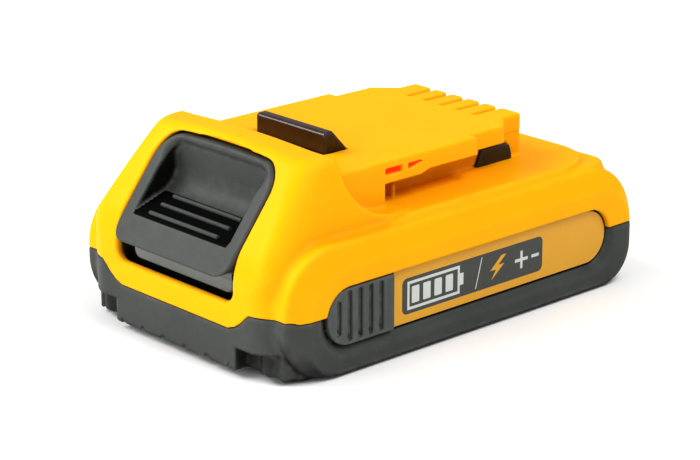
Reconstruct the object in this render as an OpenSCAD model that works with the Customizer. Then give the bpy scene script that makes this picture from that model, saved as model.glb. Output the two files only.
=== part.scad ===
// Slide-on battery pack for cordless power tools: five round cells in series,
// a two-rail tool mount on top and one push-down release latch.
// Millimetres. +X runs from the latch end to the terminal end, +Z is up,
// the origin is the bottom centre of the whole pack.

/* [Cells] */
// cell diameter over its sleeve
cell_d = 18.3; // [17.6:0.1:18.6]
// cell length over its cap
cell_len = 65.2; // [64:0.1:68]
// spacing of neighbouring cells along the pack
cell_pitch = 19; // [18.8:0.1:21]
// height of the cells above the case floor
cell_lift = 1.4; // [1:0.1:3]
// thickness of the nickel strips
strip_t = 0.2; // [0.15:0.05:0.4]
// width of the nickel strips
strip_w = 8; // [5:0.5:10]
// thickness of the insulating sheets over the strips
sheet_t = 0.3; // [0.2:0.05:0.6]
// depth of each cell frame along the cells
frame_depth = 8; // [5:0.5:12]
// frame wall beyond the first and last cell
frame_end = 1.2; // [0.8:0.1:1.6]
// frame wall above the cells
frame_top = 1.2; // [0.8:0.1:2]

/* [Case] */
// thickness of the case floor
floor_t = 2.4; // [1.8:0.1:4]
// wall thickness of the case
wall = 2.2; // [1.6:0.1:2.6]
// depth of the label recess in each side
recess_depth = 1.6; // [1.2:0.1:2.4]
// room in front of the first cell, wall included
front_room = 10.8; // [10.6:0.1:15]
// room behind the last cell, wall included
back_room = 9.7; // [9.5:0.1:14]
// how far each side pod stands out from the body
pod_depth = 3.5; // [2.5:0.1:4]
// width of the sloped border round each side pod
pod_slope = 5.7; // [4.4:0.1:6.4]
// plan radius of the front corners
corner_r = 9.5; // [8:0.5:11]
// height of the joint between the lower and upper housing
parting_z = 15; // [14:0.1:16]
// how far the joint dips across the front
front_dip = 3.9; // [2:0.1:4]
// how far the joint rises round the front corners
corner_rise = 0.8; // [0.5:0.1:2]
// gap between the insulating sheets and the case
side_clear = 0.6; // [0.4:0.1:1.5]

/* [Tool rails] */
// height of the rail block above the ledge
rail_h = 10.6; // [9:0.1:13]
// width over the two rail flanges
rail_w = 52; // [48:0.5:54]
// width of the rail block between the grooves
web_w = 36.6; // [34:0.2:40]
// height of the groove below each flange
groove_h = 5.2; // [4.6:0.1:6]
// length of the rail block behind the hump
rail_len = 68.3; // [64.5:0.1:74.5]
// length of the wide flange part, measured from the hump
flange_len = 46; // [40.5:0.5:46.5]
// length of the closed side wall next to the hump
stop_len = 16.2; // [14.5:0.1:17.5]
// width of one terminal slot
slot_w = 1.3; // [1:0.1:2]
// spacing of the terminal slots
slot_pitch = 5.7; // [5.2:0.1:6]
// length of the terminal slots
slot_len = 9.1; // [7:0.1:11]

/* [Latch end] */
// rise of the hump above the rail top
hump_rise = 5.5; // [4.5:0.1:6.6]
// lean of the front slope from the vertical, degrees
slope = 38; // [36:0.5:40]
// drop from the ledge to the foot of the front slope
brow_drop = 5.8; // [5:0.1:8]
// width of the button at its foot
button_w = 40.8; // [36:0.2:42]
// how far the button edge reaches below the foot of the slope
button_drop = 3.25; // [2.4:0.05:3.6]
// yellow band between the button and the crest
brow_band = 2.2; // [1.9:0.1:3]
// travel of the button
travel = 5; // [4:0.1:5]
// half width of the thumb hollow in the button
scoop_hw = 16.6; // [12:0.1:17]
// width of the latch wedge
wedge_w = 23.8; // [18:0.2:26]
// rise of the latch wedge above the rail top
wedge_rise = 4.9; // [4:0.1:5]

/* [Electronics] */
// gap between the cells and the circuit board
board_gap = 2.4; // [2:0.1:4]
// thickness of the circuit board
board_t = 1.6; // [1:0.1:2]
// free height above the circuit board
board_clear = 3.5; // [3:0.1:6]

/* [Hidden] */

$fn = 48;
big = 200;
// small step by which a cut passes a face
eps = 0.01;
// running clearance of the latch in the upper housing
slide_clear = 0.3;
// clearance of the cells in their frames
cell_clear = 0.1;

cell_count = 5;
bank_len = cell_count * cell_pitch;
case_len = front_room + bank_len + back_room;
button_overhang = button_drop * tan(slope);
pack_len = case_len + button_overhang;
x_back = pack_len / 2;
x_front = x_back - case_len;
bank_x0 = x_front + front_room;
bank_x1 = bank_x0 + bank_len;
cell_z = floor_t + cell_lift + cell_d / 2;
cell_top = cell_z + cell_d / 2;
cell_y = cell_len / 2;
strip_y = cell_y + strip_t;
sheet_y = strip_y + sheet_t;
sheet_h = cell_d - 2.3;
sheet_end = 2;
cavity_hw = sheet_y + side_clear;
half_w = cavity_hw + wall + recess_depth;
body_hw = half_w - pod_depth;
function cell_x(i) = bank_x0 + (i - 0.5) * cell_pitch;

board_z0 = cell_top + board_gap;
board_z1 = board_z0 + board_t;
ledge_under = board_z1 + board_clear;
ledge_wall = wall + 0.2;
ledge_z = ledge_under + ledge_wall;
rail_top = ledge_z + rail_h;
plate_under = rail_top - wall;
crest_z = rail_top + hump_rise;

// front slope
brow_z = ledge_z - brow_drop;
function slope_x(z) = x_front + (z - brow_z) * tan(slope);
button_z0 = brow_z - button_drop;
button_z1 = crest_z - brow_band;
lip_clear = 0.9;
lip_z = button_z0 - travel - lip_clear;
window_hw = button_w / 2 + slide_clear;
button_r = 4.5;
button_foot_r = 4;
window_foot_r = 3.2;
// half width of the dip in the joint below the button, and of its ramp
dip_hw = window_hw - 1.6;
ramp_hw = dip_hw + 2;
ramp_end = dip_hw + 6.8;

// hump behind the slope
crest_r = 5;
crest_back_r = 1.5;
crest_edge = 1.2;
crest_len = 8.35;
// the crest falls away to both sides
crest_drop = 1.2;
crest_mid_hw = 12;
crest_mid_drop = 0.2;
hump_back = slope_x(crest_z) + crest_len;
hump_fillet = 14.4;
hump_ledge_hw = body_hw - 0.7;
hump_lean = 0.364;
hump_top_hw = hump_ledge_hw - hump_lean * (crest_z - crest_drop - crest_edge - ledge_z);
rail_x0 = hump_back;
rail_x1 = rail_x0 + rail_len;
flange_x1 = rail_x0 + flange_len;
stop_x1 = rail_x0 + stop_len;
inset_hw = rail_w / 2 - 2.6;
inset_x1 = flange_x1 + 11.5;
taper = inset_hw - web_w / 2;
rail_cavity_hw = web_w / 2 - wall;

// side pods and the label recess in them
pod_front = x_front + 3.5;
pod_top = ledge_z - 1.4;
pod_foot = 0.9;
pod_wall = 0.45 * pod_depth;
recess_x0 = pod_front + 10;
recess_x1 = x_back - 9.5;
recess_z0 = 6.8;
recess_z1 = 20.9;
recess_r = 6.9;
recess_flare = 2.1;
recess_y = half_w - recess_depth;
trim_gap = 0.3;
pad_len = 20.6;
pad_x1 = recess_x0 + pad_len;
pad_groove_pitch = 3.2;
pad_grooves = 5;
label_t = 0.4;
label_r = recess_r - trim_gap;

// back wall: upright to this height, then leaning in to the ledge
back_upright = ledge_z - 11;
back_corner_r = 5;

// ledge
ledge_hw = body_hw - 0.6;
ledge_step = 1;
ledge_x1 = x_back - 7.7;
ledge_r = 14;

// latch
scoop_top = button_z1 - 2.1;
scoop_x = slope_x(scoop_top) + 1.9;
scoop_floor_z = ledge_z - 2.8;
scoop_rise = 3.8;
scoop_fillet = 3.6;
rib_r = 0.7;
rib_len = 2 * scoop_hw - 8.4;
rib_pitch = 3.5;
rib_rise = 1.2;
skirt_gap = 0.3;
skirt_x0 = x_front + wall + skirt_gap;
skirt_t = 1.3;
skirt_hw = window_hw - 2.4;
web_z0 = lip_z + 4.4;
web_t = 2;
arm_t = 3.5;
arm_hw = rail_cavity_hw - 1.2;
wedge_x0 = rail_x0 + 10.1;
wedge_top = rail_top + wedge_rise;
wedge_len = 7.1;
wedge_x1 = wedge_x0 + wedge_len;

// latch springs
spring_r = 2.6;
wire_r = 0.4;
spring_turns = 9;
spring_x = skirt_x0 + skirt_t + spring_r + wire_r + 0.3;
spring_y = 13;
spring_seat = floor_t + 2;
cup_bore = spring_r + wire_r + 0.3;
cup_r = cup_bore + 0.9;
cup_top = spring_seat + 4;
pin_r = spring_r - wire_r - 0.3;

// front lower edge: lifted off the ground, with finger lobes and the corner notches beside them
front_lift = 1.6;
lift_len = 6;
lift_end = 11;
front_boss_y = body_hw - 5.6;
lobe_pitch = 7.8;
lobe_r = 9;
lobe_z = front_lift - 0.1;
lobe_row_hw = 2.5 * lobe_pitch;
lobe_deep = 4;
lobe_gap_h = front_lift + 1.4;
notch_y0 = front_boss_y - 6.8;
notch_y1 = body_hw - 1.3;
notch_deep = 3.7;
notch_h = 7;
notch_wall = 1.6;

// screws and their bosses
boss_r = 3.2;
screw_r = 1.3;
screw_head_r = 2.1;
screw_socket_r = 1.2;
screw_head_h = 2.2;
head_seat = 6.2;
screw_len = 16;
counterbore_r = screw_head_r + 0.2;
front_boss_x = bank_x0 - frame_end - 0.3 - boss_r;
back_boss_x = bank_x1 + frame_end + 0.3 + boss_r;
back_boss_y = body_hw - 8;
boss_spots = [
  [front_boss_x, -front_boss_y], [front_boss_x, front_boss_y],
  [back_boss_x, -back_boss_y], [back_boss_x, back_boss_y]
];

// cell frames and circuit board
frame_y1 = cell_y - 0.2;
frame_y0 = frame_y1 - frame_depth;
frame_z1 = cell_top + frame_top;
board_x0 = bank_x0 + 4;
board_x1 = bank_x1 - 4;
board_hw = cell_y - 1.6;
post_y = frame_y1 - 4.2;
post_r = 2.2;
peg_r = 1;
peg_clear = 0.15;
post_xs = [cell_x(2), cell_x(4)];

// terminals
slot_x0 = rail_x1 - slot_len;
slot_floor = rail_top - 9.4;
block_x1 = rail_x1 - wall - 0.3;
block_x0 = block_x1 - 17;
block_hw = rail_cavity_hw - 0.4;
block_z1 = rail_top - 4.2;
contact_t = 0.5;
contact_gap = 0.9;
contact_w = 2.6;
contact_len = 13;
contact_pocket = 3.2;
contact_foot = board_z1 + 2;

// rail bumpers
bumper_x0 = rail_x1 - 15.5;
bumper_x1 = rail_x1 - 3.4;
bumper_h = 4.3;
bumper_out = 0.8;
bumper_deep = 1.2;
// radius of the far upper corner, less than half the height
bumper_r = 2;
bumper_lean = 1.8;

yellow = [0.98, 0.76, 0.08];
black = [0.13, 0.13, 0.13];
grey = [0.33, 0.34, 0.33];
steel = [0.7, 0.7, 0.72];
nickel = [0.75, 0.74, 0.7];

// A flat shape drawn in X and Z, given thickness in Y from y0 to y1.
module along_y(y0, y1) {
  translate([0, y1, 0])
    rotate([90, 0, 0])
      linear_extrude(y1 - y0)
        children();
}

// A flat shape drawn in Y and Z, given thickness in X from x0 to x1.
module along_x(x0, x1) {
  translate([x0, 0, 0])
    rotate([90, 0, 90])
      linear_extrude(x1 - x0)
        children();
}

// A rectangle from (a0, b0) to (a1, b1) with round corners:
// r_top at the far b side and r_foot at the near one.
module soft_rect(a0, b0, a1, b1, r_foot, r_top) {
  for (a = [a0 + r_foot, a1 - r_foot])
    translate([a, b0 + r_foot])
      circle(r_foot);
  for (a = [a0 + r_top, a1 - r_top])
    translate([a, b1 - r_top])
      circle(r_top);
  translate([a0 + r_foot, b0])
    square([a1 - a0 - 2 * r_foot, b1 - b0 - r_top]);
  translate([a0 + r_top, b0 + r_foot])
    square([a1 - a0 - 2 * r_top, b1 - b0 - r_foot]);
  translate([a0, b0 + r_foot])
    square([a1 - a0, b1 - b0 - r_foot - r_top]);
}

module mirrored_y() {
  children();
  mirror([0, 1, 0])
    children();
}

// Body between the hump and the back, rounded in plan and leaning in at the top.
module body_form() {
  back = x_back - 1;
  hull() {
    for (s = [-1, 1]) {
      translate([x_front + corner_r, s * (body_hw - corner_r), 0])
        cylinder(r = corner_r, h = brow_z);
      translate([back - back_corner_r, s * (body_hw - back_corner_r), 0])
        cylinder(r = back_corner_r, h = back_upright);
      translate([ledge_x1 - ledge_r + 1.5, s * (body_hw - 0.2 - ledge_r), 0])
        cylinder(r = ledge_r, h = ledge_z - ledge_step);
      translate([slope_x(ledge_z) + 14, s * (body_hw - 8), 0])
        cylinder(r = 7.8, h = ledge_z - ledge_step);
    }
  }
}

// Flat ring of the crest at half width y: its side edge is broken by crest_edge.
module crest_ring(x, y, z, r) {
  translate([x, y, z - crest_edge])
    cylinder(r = r, h = eps);
  translate([x, y, z - eps])
    cylinder(r = max(r - crest_edge, 0.2), h = eps);
}

// Hump round the latch, moved inwards by inset.
module hump_form(inset) {
  mid_z = ledge_z - 1;
  mid_r = 8;
  foot_r = 6;
  front_r = crest_r - inset;
  back_r = max(crest_back_r - inset, 0.6);
  side_z = crest_z - crest_drop;
  front_x = slope_x(side_z - crest_edge) + crest_r;
  mid_x = slope_x(crest_z - crest_mid_drop - crest_edge) + crest_r;
  back_x = hump_back - inset - back_r;
  hull()
    for (s = [-1, 1]) {
      translate([x_front + corner_r, s * (body_hw - corner_r), floor_t + front_lift])
        cylinder(r = corner_r - inset, h = brow_z - floor_t - front_lift - inset * tan(slope / 2));
      translate([slope_x(mid_z) + mid_r, s * (hump_ledge_hw + 0.3 - mid_r), mid_z - inset * tan(slope / 2)])
        cylinder(r = mid_r - inset, h = eps);
      crest_ring(front_x, s * (hump_top_hw - crest_r), side_z - inset, front_r);
      crest_ring(back_x, s * (hump_top_hw - inset - back_r), side_z - inset, back_r);
      crest_ring(mid_x, s * crest_mid_hw, crest_z - crest_mid_drop - inset, front_r);
      crest_ring(back_x, s * crest_mid_hw, crest_z - crest_mid_drop - inset, back_r);
      translate([hump_back + hump_fillet, s * (hump_ledge_hw - foot_r), floor_t + front_lift])
        cylinder(r = foot_r - inset, h = ledge_z - floor_t - front_lift - inset);
    }
}

// Space behind the hump that the foot of the tool slides into, grown by grow.
module tool_space(grow) {
  mid_x = hump_back + hump_fillet;
  mid_z = ledge_z + hump_fillet;
  translate([mid_x, big / 2, mid_z])
    rotate([90, 0, 0])
      cylinder(r = hump_fillet + grow, h = big);
  translate([mid_x, -big / 2, ledge_z - grow])
    cube([big, big, big]);
  translate([hump_back - grow, -big / 2, mid_z])
    cube([big, big, big]);
}

// One side pod, drawn on the -Y side.
module pod_form() {
  face_x0 = pod_front + pod_slope;
  face_x1 = x_back - 2;
  face_z1 = pod_top - pod_slope;
  hull() {
    along_y(-body_hw - pod_wall, -body_hw + 6) {
      translate([pod_front + 13, pod_top - 13]) circle(13);
      translate([x_back - 15, pod_top - 15]) circle(15);
      translate([x_back - 10, 10]) circle(10);
      translate([pod_front + 13, 13]) circle(13);
    }
    along_y(-half_w, -half_w + 0.3) {
      translate([face_x0 + 9.5, face_z1 - 9.5]) circle(9.5);
      translate([face_x1 - 11, face_z1 - 11]) circle(11);
      translate([face_x1 - 9, 9 + pod_foot]) circle(9);
      translate([face_x0 + 8, 8 + pod_foot]) circle(8);
    }
  }
}

module ledge_form() {
  hw = ledge_hw;
  x0 = hump_back + hump_fillet - 4;
  translate([0, 0, ledge_z - ledge_step - 1])
    linear_extrude(ledge_step + 1) {
      for (s = [-1, 1])
        translate([ledge_x1 - ledge_r, s * (hw - ledge_r)])
          circle(ledge_r);
      translate([x0, -hw])
        square([ledge_x1 - ledge_r - x0, 2 * hw]);
      translate([x0, -hw + ledge_r])
        square([ledge_x1 - x0, 2 * (hw - ledge_r)]);
    }
}

// Rail block with its two flanges and grooves.
module rail_form() {
  flange_hw = rail_w / 2;
  translate([0, 0, ledge_z - 1])
    linear_extrude(rail_h + 1)
      polygon([
        [rail_x0 - 1, -flange_hw], [flange_x1, -flange_hw], [flange_x1, -inset_hw],
        [inset_x1, -inset_hw], [inset_x1 + taper, -web_w / 2], [rail_x1, -web_w / 2],
        [rail_x1, web_w / 2], [inset_x1 + taper, web_w / 2], [inset_x1, inset_hw],
        [flange_x1, inset_hw], [flange_x1, flange_hw], [rail_x0 - 1, flange_hw]
      ]);
}

module groove_cut() {
  low_z = ledge_z + groove_h;
  high_z = low_z + 0.9;
  along_y(-rail_w, -web_w / 2)
    polygon([
      [stop_x1, ledge_z], [stop_x1, low_z], [stop_x1 + 11.4, low_z], [stop_x1 + 14, high_z],
      [rail_x1 + 10, high_z], [rail_x1 + 10, ledge_z]
    ]);
  // two side windows in the flange
  along_y(-rail_w, -rail_w / 2 + 2.6)
    polygon([
      [stop_x1, low_z + 2.1], [stop_x1 + 5.3, low_z + 2.1],
      [stop_x1 + 5.3, low_z + 3.7], [stop_x1, low_z + 3.7]
    ]);
  along_y(-rail_w, -rail_w / 2 + 2.6)
    polygon([
      [stop_x1 + 7.2, low_z + 2.1], [stop_x1 + 13, low_z + 3.6], [stop_x1 + 7.2, low_z + 3.6]
    ]);
}

module outer_form() {
  difference() {
    union() {
      body_form();
      hump_form(0);
    }
    tool_space(0);
  }
  mirrored_y()
    pod_form();
}

// Everything below the joint between the two housings.
module below_joint() {
  step_x = x_front + 6;
  front_z = parting_z - front_dip;
  corner_z = parting_z + corner_rise;
  translate([step_x - 0.5, -big / 2, -1])
    cube([big, big, parting_z + 1]);
  along_x(x_front - 10, step_x)
    polygon([
      [-big / 2, -1], [big / 2, -1], [big / 2, corner_z], [ramp_end, corner_z], [ramp_hw, front_z + 1],
      [dip_hw, front_z], [-dip_hw, front_z], [-ramp_hw, front_z + 1], [-ramp_end, corner_z],
      [-big / 2, corner_z]
    ]);
}

// Hollow for the cells and the latch inside both housings.
module case_cavity() {
  bank0 = bank_x0 - frame_end - 0.3;
  bank1 = bank_x1 + frame_end + 0.3;
  shoulder_z = ledge_under - 4.4;
  low_top = board_z1 + 1.2;
  top_hw = body_hw - wall - 0.2;
  low_hw = cavity_hw - (cavity_hw - top_hw) * (low_top - shoulder_z) / (ledge_under - shoulder_z);
  along_x(bank0, bank1)
    polygon([
      [-cavity_hw, floor_t], [cavity_hw, floor_t], [cavity_hw, shoulder_z],
      [low_hw, low_top], [-low_hw, low_top], [-cavity_hw, shoulder_z]
    ]);
  along_x(bank0, ledge_x1 - ledge_r + 2)
    polygon([
      [-low_hw, low_top - 1], [low_hw, low_top - 1], [low_hw, low_top],
      [top_hw, ledge_under], [-top_hw, ledge_under], [-low_hw, low_top]
    ]);
  difference() {
    hump_form(wall);
    tool_space(wall);
  }
  along_y(-back_boss_y + 1, back_boss_y - 1)
    polygon([
      [bank1 - 1, floor_t], [x_back - 1 - wall, floor_t], [x_back - 1 - wall, back_upright - 1],
      [ledge_x1 - wall - 1, ledge_under], [bank1 - 1, ledge_under]
    ]);
  // inside of the rail block
  translate([rail_x0 - wall - 1, -rail_cavity_hw, ledge_under - 1])
    cube([rail_len + 1, 2 * rail_cavity_hw, plate_under - ledge_under + 1]);
  translate([rail_x0 + wall, -rail_w / 2 + wall, ledge_under - 1])
    cube([stop_len - 2 * wall, rail_w - 2 * wall, plate_under - ledge_under + 1]);
}

// Front opening for the button.
module button_window() {
  along_x(x_front - 5, slope_x(button_z1) + 3.2)
    soft_rect(-window_hw, lip_z, window_hw, button_z1 + slide_clear, window_foot_r, button_r + slide_clear);
}

// Recess for label and grip pad on the -Y side.
module recess_cut() {
  along_y(-half_w - 1, -recess_y)
    soft_rect(recess_x0, recess_z0, recess_x1, recess_z1, recess_r, recess_r);
}

module screw_boss(z0, z1) {
  translate([0, 0, z0])
    cylinder(r = boss_r, h = z1 - z0);
}

module upper_housing() {
  corner_z = parting_z + corner_rise;
  color(yellow)
    difference() {
      union() {
        difference() {
          union() {
            difference() {
              outer_form();
              below_joint();
            }
            ledge_form();
            rail_form();
          }
          case_cavity();
          mirrored_y()
            groove_cut();
        }
        difference() {
          for (spot = boss_spots)
            translate(spot)
              if (spot[0] < 0) {
                screw_boss(parting_z, brow_z + 0.5);
                translate([-0.8, spot[1] > 0 ? 0 : -5, corner_z])
                  cube([1.6, 5, brow_z - corner_z - 2]);
              } else {
                screw_boss(parting_z, back_upright + 2);
              }
          below_joint();
        }
      }
      button_window();
      mirrored_y()
        recess_cut();
      // opening for the latch wedge
      translate([wedge_x0 - slide_clear, -wedge_w / 2 - slide_clear, plate_under - 1])
        cube([wedge_len + 2 * slide_clear, wedge_w + 2 * slide_clear, wall + 2]);
      // terminal slots, open at the end
      for (i = [-2:2])
        translate([slot_x0, i * slot_pitch - slot_w / 2, slot_floor])
          cube([slot_len + 1, slot_w, rail_h]);
      // pilot holes for the screws
      for (spot = boss_spots)
        translate([spot[0], spot[1], 0])
          cylinder(r = screw_r + 0.05, h = head_seat + screw_len + 1);
      // seats of the rail bumpers
      mirrored_y()
        rail_bumper_form(0.1);
    }
}

// Row of rounded finger lobes along the front lower edge.
module front_lobes_cut() {
  along_y(-body_hw, body_hw)
    polygon([
      [x_front - 1, -1], [x_front + lift_end, -1], [x_front + lift_end, 0], [x_front + lift_len, front_lift],
      [x_front - 1, front_lift]
    ]);
  difference() {
    translate([x_front - 1, -lobe_row_hw, -1])
      cube([lobe_deep + 1, 2 * lobe_row_hw, lobe_gap_h + 1]);
    for (i = [-2:2])
      translate([x_front - 2, i * lobe_pitch, lobe_z + lobe_r])
        rotate([0, 90, 0])
          cylinder(r = lobe_r, h = lobe_deep + 5);
  }
}

// Open notch at a front corner that shows the screw boss, on the -Y side.
module corner_notch(grow) {
  translate([x_front - 5, -notch_y1 - grow, -1])
    cube([5 + notch_deep + grow, notch_y1 - notch_y0 + 2 * grow, notch_h + 1 + grow]);
}

module lower_housing() {
  corner_z = parting_z + corner_rise;
  color(black)
    difference() {
      union() {
        difference() {
          intersection() {
            outer_form();
            below_joint();
          }
          difference() {
            case_cavity();
            mirrored_y()
              corner_notch(notch_wall);
          }
          mirrored_y()
            corner_notch(0);
          front_lobes_cut();
        }
        intersection() {
          for (spot = boss_spots)
            translate(spot)
              screw_boss(spot[0] < 0 ? front_lift : 0.5, corner_z);
          below_joint();
        }
        for (s = [-1, 1])
          translate([spring_x, s * spring_y, front_lift + 0.4])
            cylinder(r = cup_r, h = cup_top - front_lift - 0.4);
      }
      mirrored_y() {
        recess_cut();
        hull() {
          along_y(-recess_y - 0.2, -recess_y)
            soft_rect(recess_x0, recess_z0, recess_x1, recess_z1 + 5, recess_r, 2);
          along_y(-half_w - eps, -half_w + eps)
            soft_rect(recess_x0 - recess_flare, recess_z0 - recess_flare, recess_x1 + recess_flare,
                      recess_z1 + 5, recess_r + recess_flare, 2);
        }
      }
      for (spot = boss_spots)
        translate([spot[0], spot[1], -1]) {
          cylinder(r = screw_r + 0.2, h = big);
          cylinder(r = counterbore_r, h = head_seat + 1);
        }
      for (s = [-1, 1])
        translate([spring_x, s * spring_y, spring_seat])
          cylinder(r = cup_bore, h = big);
    }
}

// Profile of the button with the thumb hollow taken out of it.
module latch_profile() {
  back = slope_x(button_z1) + 2.6;
  polygon([
    [slope_x(button_z0), button_z0], [slope_x(button_z1), button_z1], [back, button_z1],
    [back, scoop_floor_z + 5.2], [scoop_x - 4, scoop_floor_z + 1.2],
    [skirt_x0 + skirt_t, scoop_floor_z - 2.4], [skirt_x0 + skirt_t, button_z0]
  ]);
}

module scoop_profile() {
  floor_x = scoop_x - scoop_fillet;
  floor_z = scoop_floor_z + scoop_rise;
  arc = [for (t = [0:15:90]) [floor_x + scoop_fillet * sin(t), floor_z + scoop_fillet * (1 - cos(t))]];
  polygon(concat(
    [[slope_x(scoop_floor_z) - 8, scoop_floor_z - 2.8], [slope_x(scoop_floor_z), scoop_floor_z]],
    arc,
    [[scoop_x, crest_z], [slope_x(crest_z) - 20, crest_z]]
  ));
}

module release_latch() {
  color(grey) {
    difference() {
      intersection() {
        along_y(-button_w, button_w)
          latch_profile();
        along_x(x_front - big, x_front + big)
          soft_rect(-button_w / 2, button_z0, button_w / 2, button_z1, button_foot_r, button_r);
      }
      intersection() {
        along_y(-scoop_hw, scoop_hw)
          scoop_profile();
        along_x(x_front - big, x_front + big)
          soft_rect(-scoop_hw, scoop_floor_z - 6, scoop_hw, scoop_top, 1, 3.5);
      }
    }
    // three ribs across the floor of the hollow
    for (i = [0:2])
      translate([slope_x(scoop_floor_z) + 0.9 + rib_pitch * i, 0, scoop_floor_z + 0.2 + rib_rise * i])
        rotate([90, 0, 0])
          cylinder(r = rib_r, h = rib_len, center = true);
    // skirt that stays behind the lip of the case
    translate([skirt_x0, -skirt_hw, web_z0 - 5.2])
      cube([skirt_t, 2 * skirt_hw, scoop_floor_z - web_z0 + 2.8]);
    // web that the springs push on
    translate([skirt_x0 + eps, -skirt_hw, web_z0])
      cube([spring_x + spring_r + 0.8 - skirt_x0, 2 * skirt_hw, web_t]);
    for (s = [-1, 1])
      translate([spring_x, s * spring_y, web_z0 - 4])
        cylinder(r = pin_r, h = 4 + web_t / 2);
    // gussets between web and button
    for (y = [-skirt_hw, -0.8, skirt_hw - 1.6])
      along_y(y, y + 1.6)
        polygon([
          [skirt_x0 + 1, web_z0 + 1], [spring_x + spring_r, web_z0 + 1],
          [scoop_x - 1, scoop_floor_z + 3.4], [skirt_x0 + 1, scoop_floor_z - 1.4]
        ]);
    // arm under the rail top and the wedge that locks into the tool
    translate([slope_x(button_z1) + 1, -arm_hw, plate_under - arm_t])
      cube([wedge_x1 + 2 - slope_x(button_z1) - 1, 2 * arm_hw, arm_t]);
    along_y(-wedge_w / 2, wedge_w / 2)
      polygon([
        [wedge_x0, plate_under - 1], [wedge_x0, wedge_top - 0.6], [wedge_x0 + 0.6, wedge_top],
        [wedge_x0 + 2.6, wedge_top], [wedge_x1, rail_top], [wedge_x1, plate_under - 1]
      ]);
  }
}

// One round wire wound into a coil from z0 to z1.
module coil(z0, z1) {
  rings_per_turn = 8;
  sides = 6;
  rings = spring_turns * rings_per_turn;
  rise = (z1 - z0 - 2 * wire_r) / rings;
  points = [
    for (i = [0:rings], j = [0:sides - 1])
      let (a = 360 * i / rings_per_turn, b = 360 * j / sides, r = spring_r + wire_r * cos(b))
        [r * cos(a), r * sin(a), z0 + wire_r + rise * i + wire_r * sin(b)]
  ];
  skin = [
    for (i = [0:rings - 1], j = [0:sides - 1])
      let (a = i * sides + j, b = i * sides + (j + 1) % sides)
        each [[a, b, b + sides], [a, b + sides, a + sides]]
  ];
  near_end = [for (j = [0:sides - 1]) sides - 1 - j];
  far_end = [for (j = [0:sides - 1]) rings * sides + j];
  polyhedron(points, concat(skin, [near_end, far_end]), convexity = 10);
}
echo(spring_gap = (web_z0 - spring_seat - 2 * wire_r) / spring_turns - 2 * wire_r);

module latch_spring_right() {
  color(steel)
    translate([spring_x, -spring_y, 0])
      coil(spring_seat, web_z0);
}

module latch_spring_left() {
  color(steel)
    translate([spring_x, spring_y, 0])
      coil(spring_seat, web_z0);
}

// Ribbed pad at the front of the label recess, on the -Y side.
module grip_pad() {
  x0 = recess_x0 + trim_gap;
  z0 = recess_z0 + trim_gap;
  z1 = recess_z1 - trim_gap;
  first = x0 + 3.4;
  difference() {
    intersection() {
      along_y(-half_w + 0.1, -recess_y)
        soft_rect(x0, z0, recess_x1, z1, recess_r - trim_gap, recess_r - trim_gap);
      translate([x0 - 1, -half_w, 0])
        cube([pad_x1 - x0 + 1, half_w, z1 + 1]);
    }
    for (i = [0:pad_grooves - 1])
      translate([first + i * pad_groove_pitch - 0.6, -half_w, z0 + (i == 0 ? 2.6 : 0.8)])
        cube([1.2, 0.9, z1 - z0 - (i == 0 ? 5.2 : 1.6)]);
  }
}

module grip_pad_right() {
  color(grey)
    grip_pad();
}

module grip_pad_left() {
  color(grey)
    mirror([0, 1, 0])
      grip_pad();
}

// Plain label in the rest of the recess, on the -Y side.
module label() {
  x0 = pad_x1 + trim_gap;
  x1 = recess_x1 - trim_gap;
  z0 = recess_z0 + trim_gap;
  z1 = recess_z1 - trim_gap;
  intersection() {
    along_y(-recess_y - label_t, -recess_y)
      soft_rect(x0 - 20, z0, x1, z1, label_r, label_r);
    translate([x0, -half_w, 0])
      cube([x1 - x0 + 1, half_w, z1 + 1]);
  }
}

module label_right() {
  color([0.95, 0.7, 0.2])
    label();
}

module label_left() {
  color([0.95, 0.7, 0.2])
    mirror([0, 1, 0])
      label();
}

// Cushion in the side of the rail block, on the -Y side, grown by grow.
module rail_bumper_form(grow) {
  top = ledge_z + bumper_h + grow;
  x0 = bumper_x0 - grow;
  x1 = bumper_x1 + grow;
  along_y(-web_w / 2 - bumper_out, -web_w / 2 + bumper_deep + grow) {
    polygon([
      [x0, ledge_z], [x1, ledge_z], [x1, top - bumper_r], [x1 - bumper_r, top], [x0 + bumper_lean, top]
    ]);
    translate([x1 - bumper_r, top - bumper_r])
      circle(bumper_r);
  }
}

module rail_bumper_right() {
  color([0.12, 0.1, 0.07])
    rail_bumper_form(0);
}

module rail_bumper_left() {
  color([0.12, 0.1, 0.07])
    mirror([0, 1, 0])
      rail_bumper_form(0);
}

module housing_screws() {
  color(steel)
    for (spot = boss_spots)
      translate([spot[0], spot[1], head_seat]) {
        difference() {
          translate([0, 0, -screw_head_h])
            cylinder(r = screw_head_r, h = screw_head_h);
          translate([0, 0, -screw_head_h - 1])
            cylinder(r = screw_socket_r, h = screw_head_h, $fn = 6);
        }
        cylinder(r = screw_r, h = screw_len - 1.5);
        translate([0, 0, screw_len - 1.5 - eps])
          cylinder(r1 = screw_r, r2 = 0.5, h = 1.5);
      }
}

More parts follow.
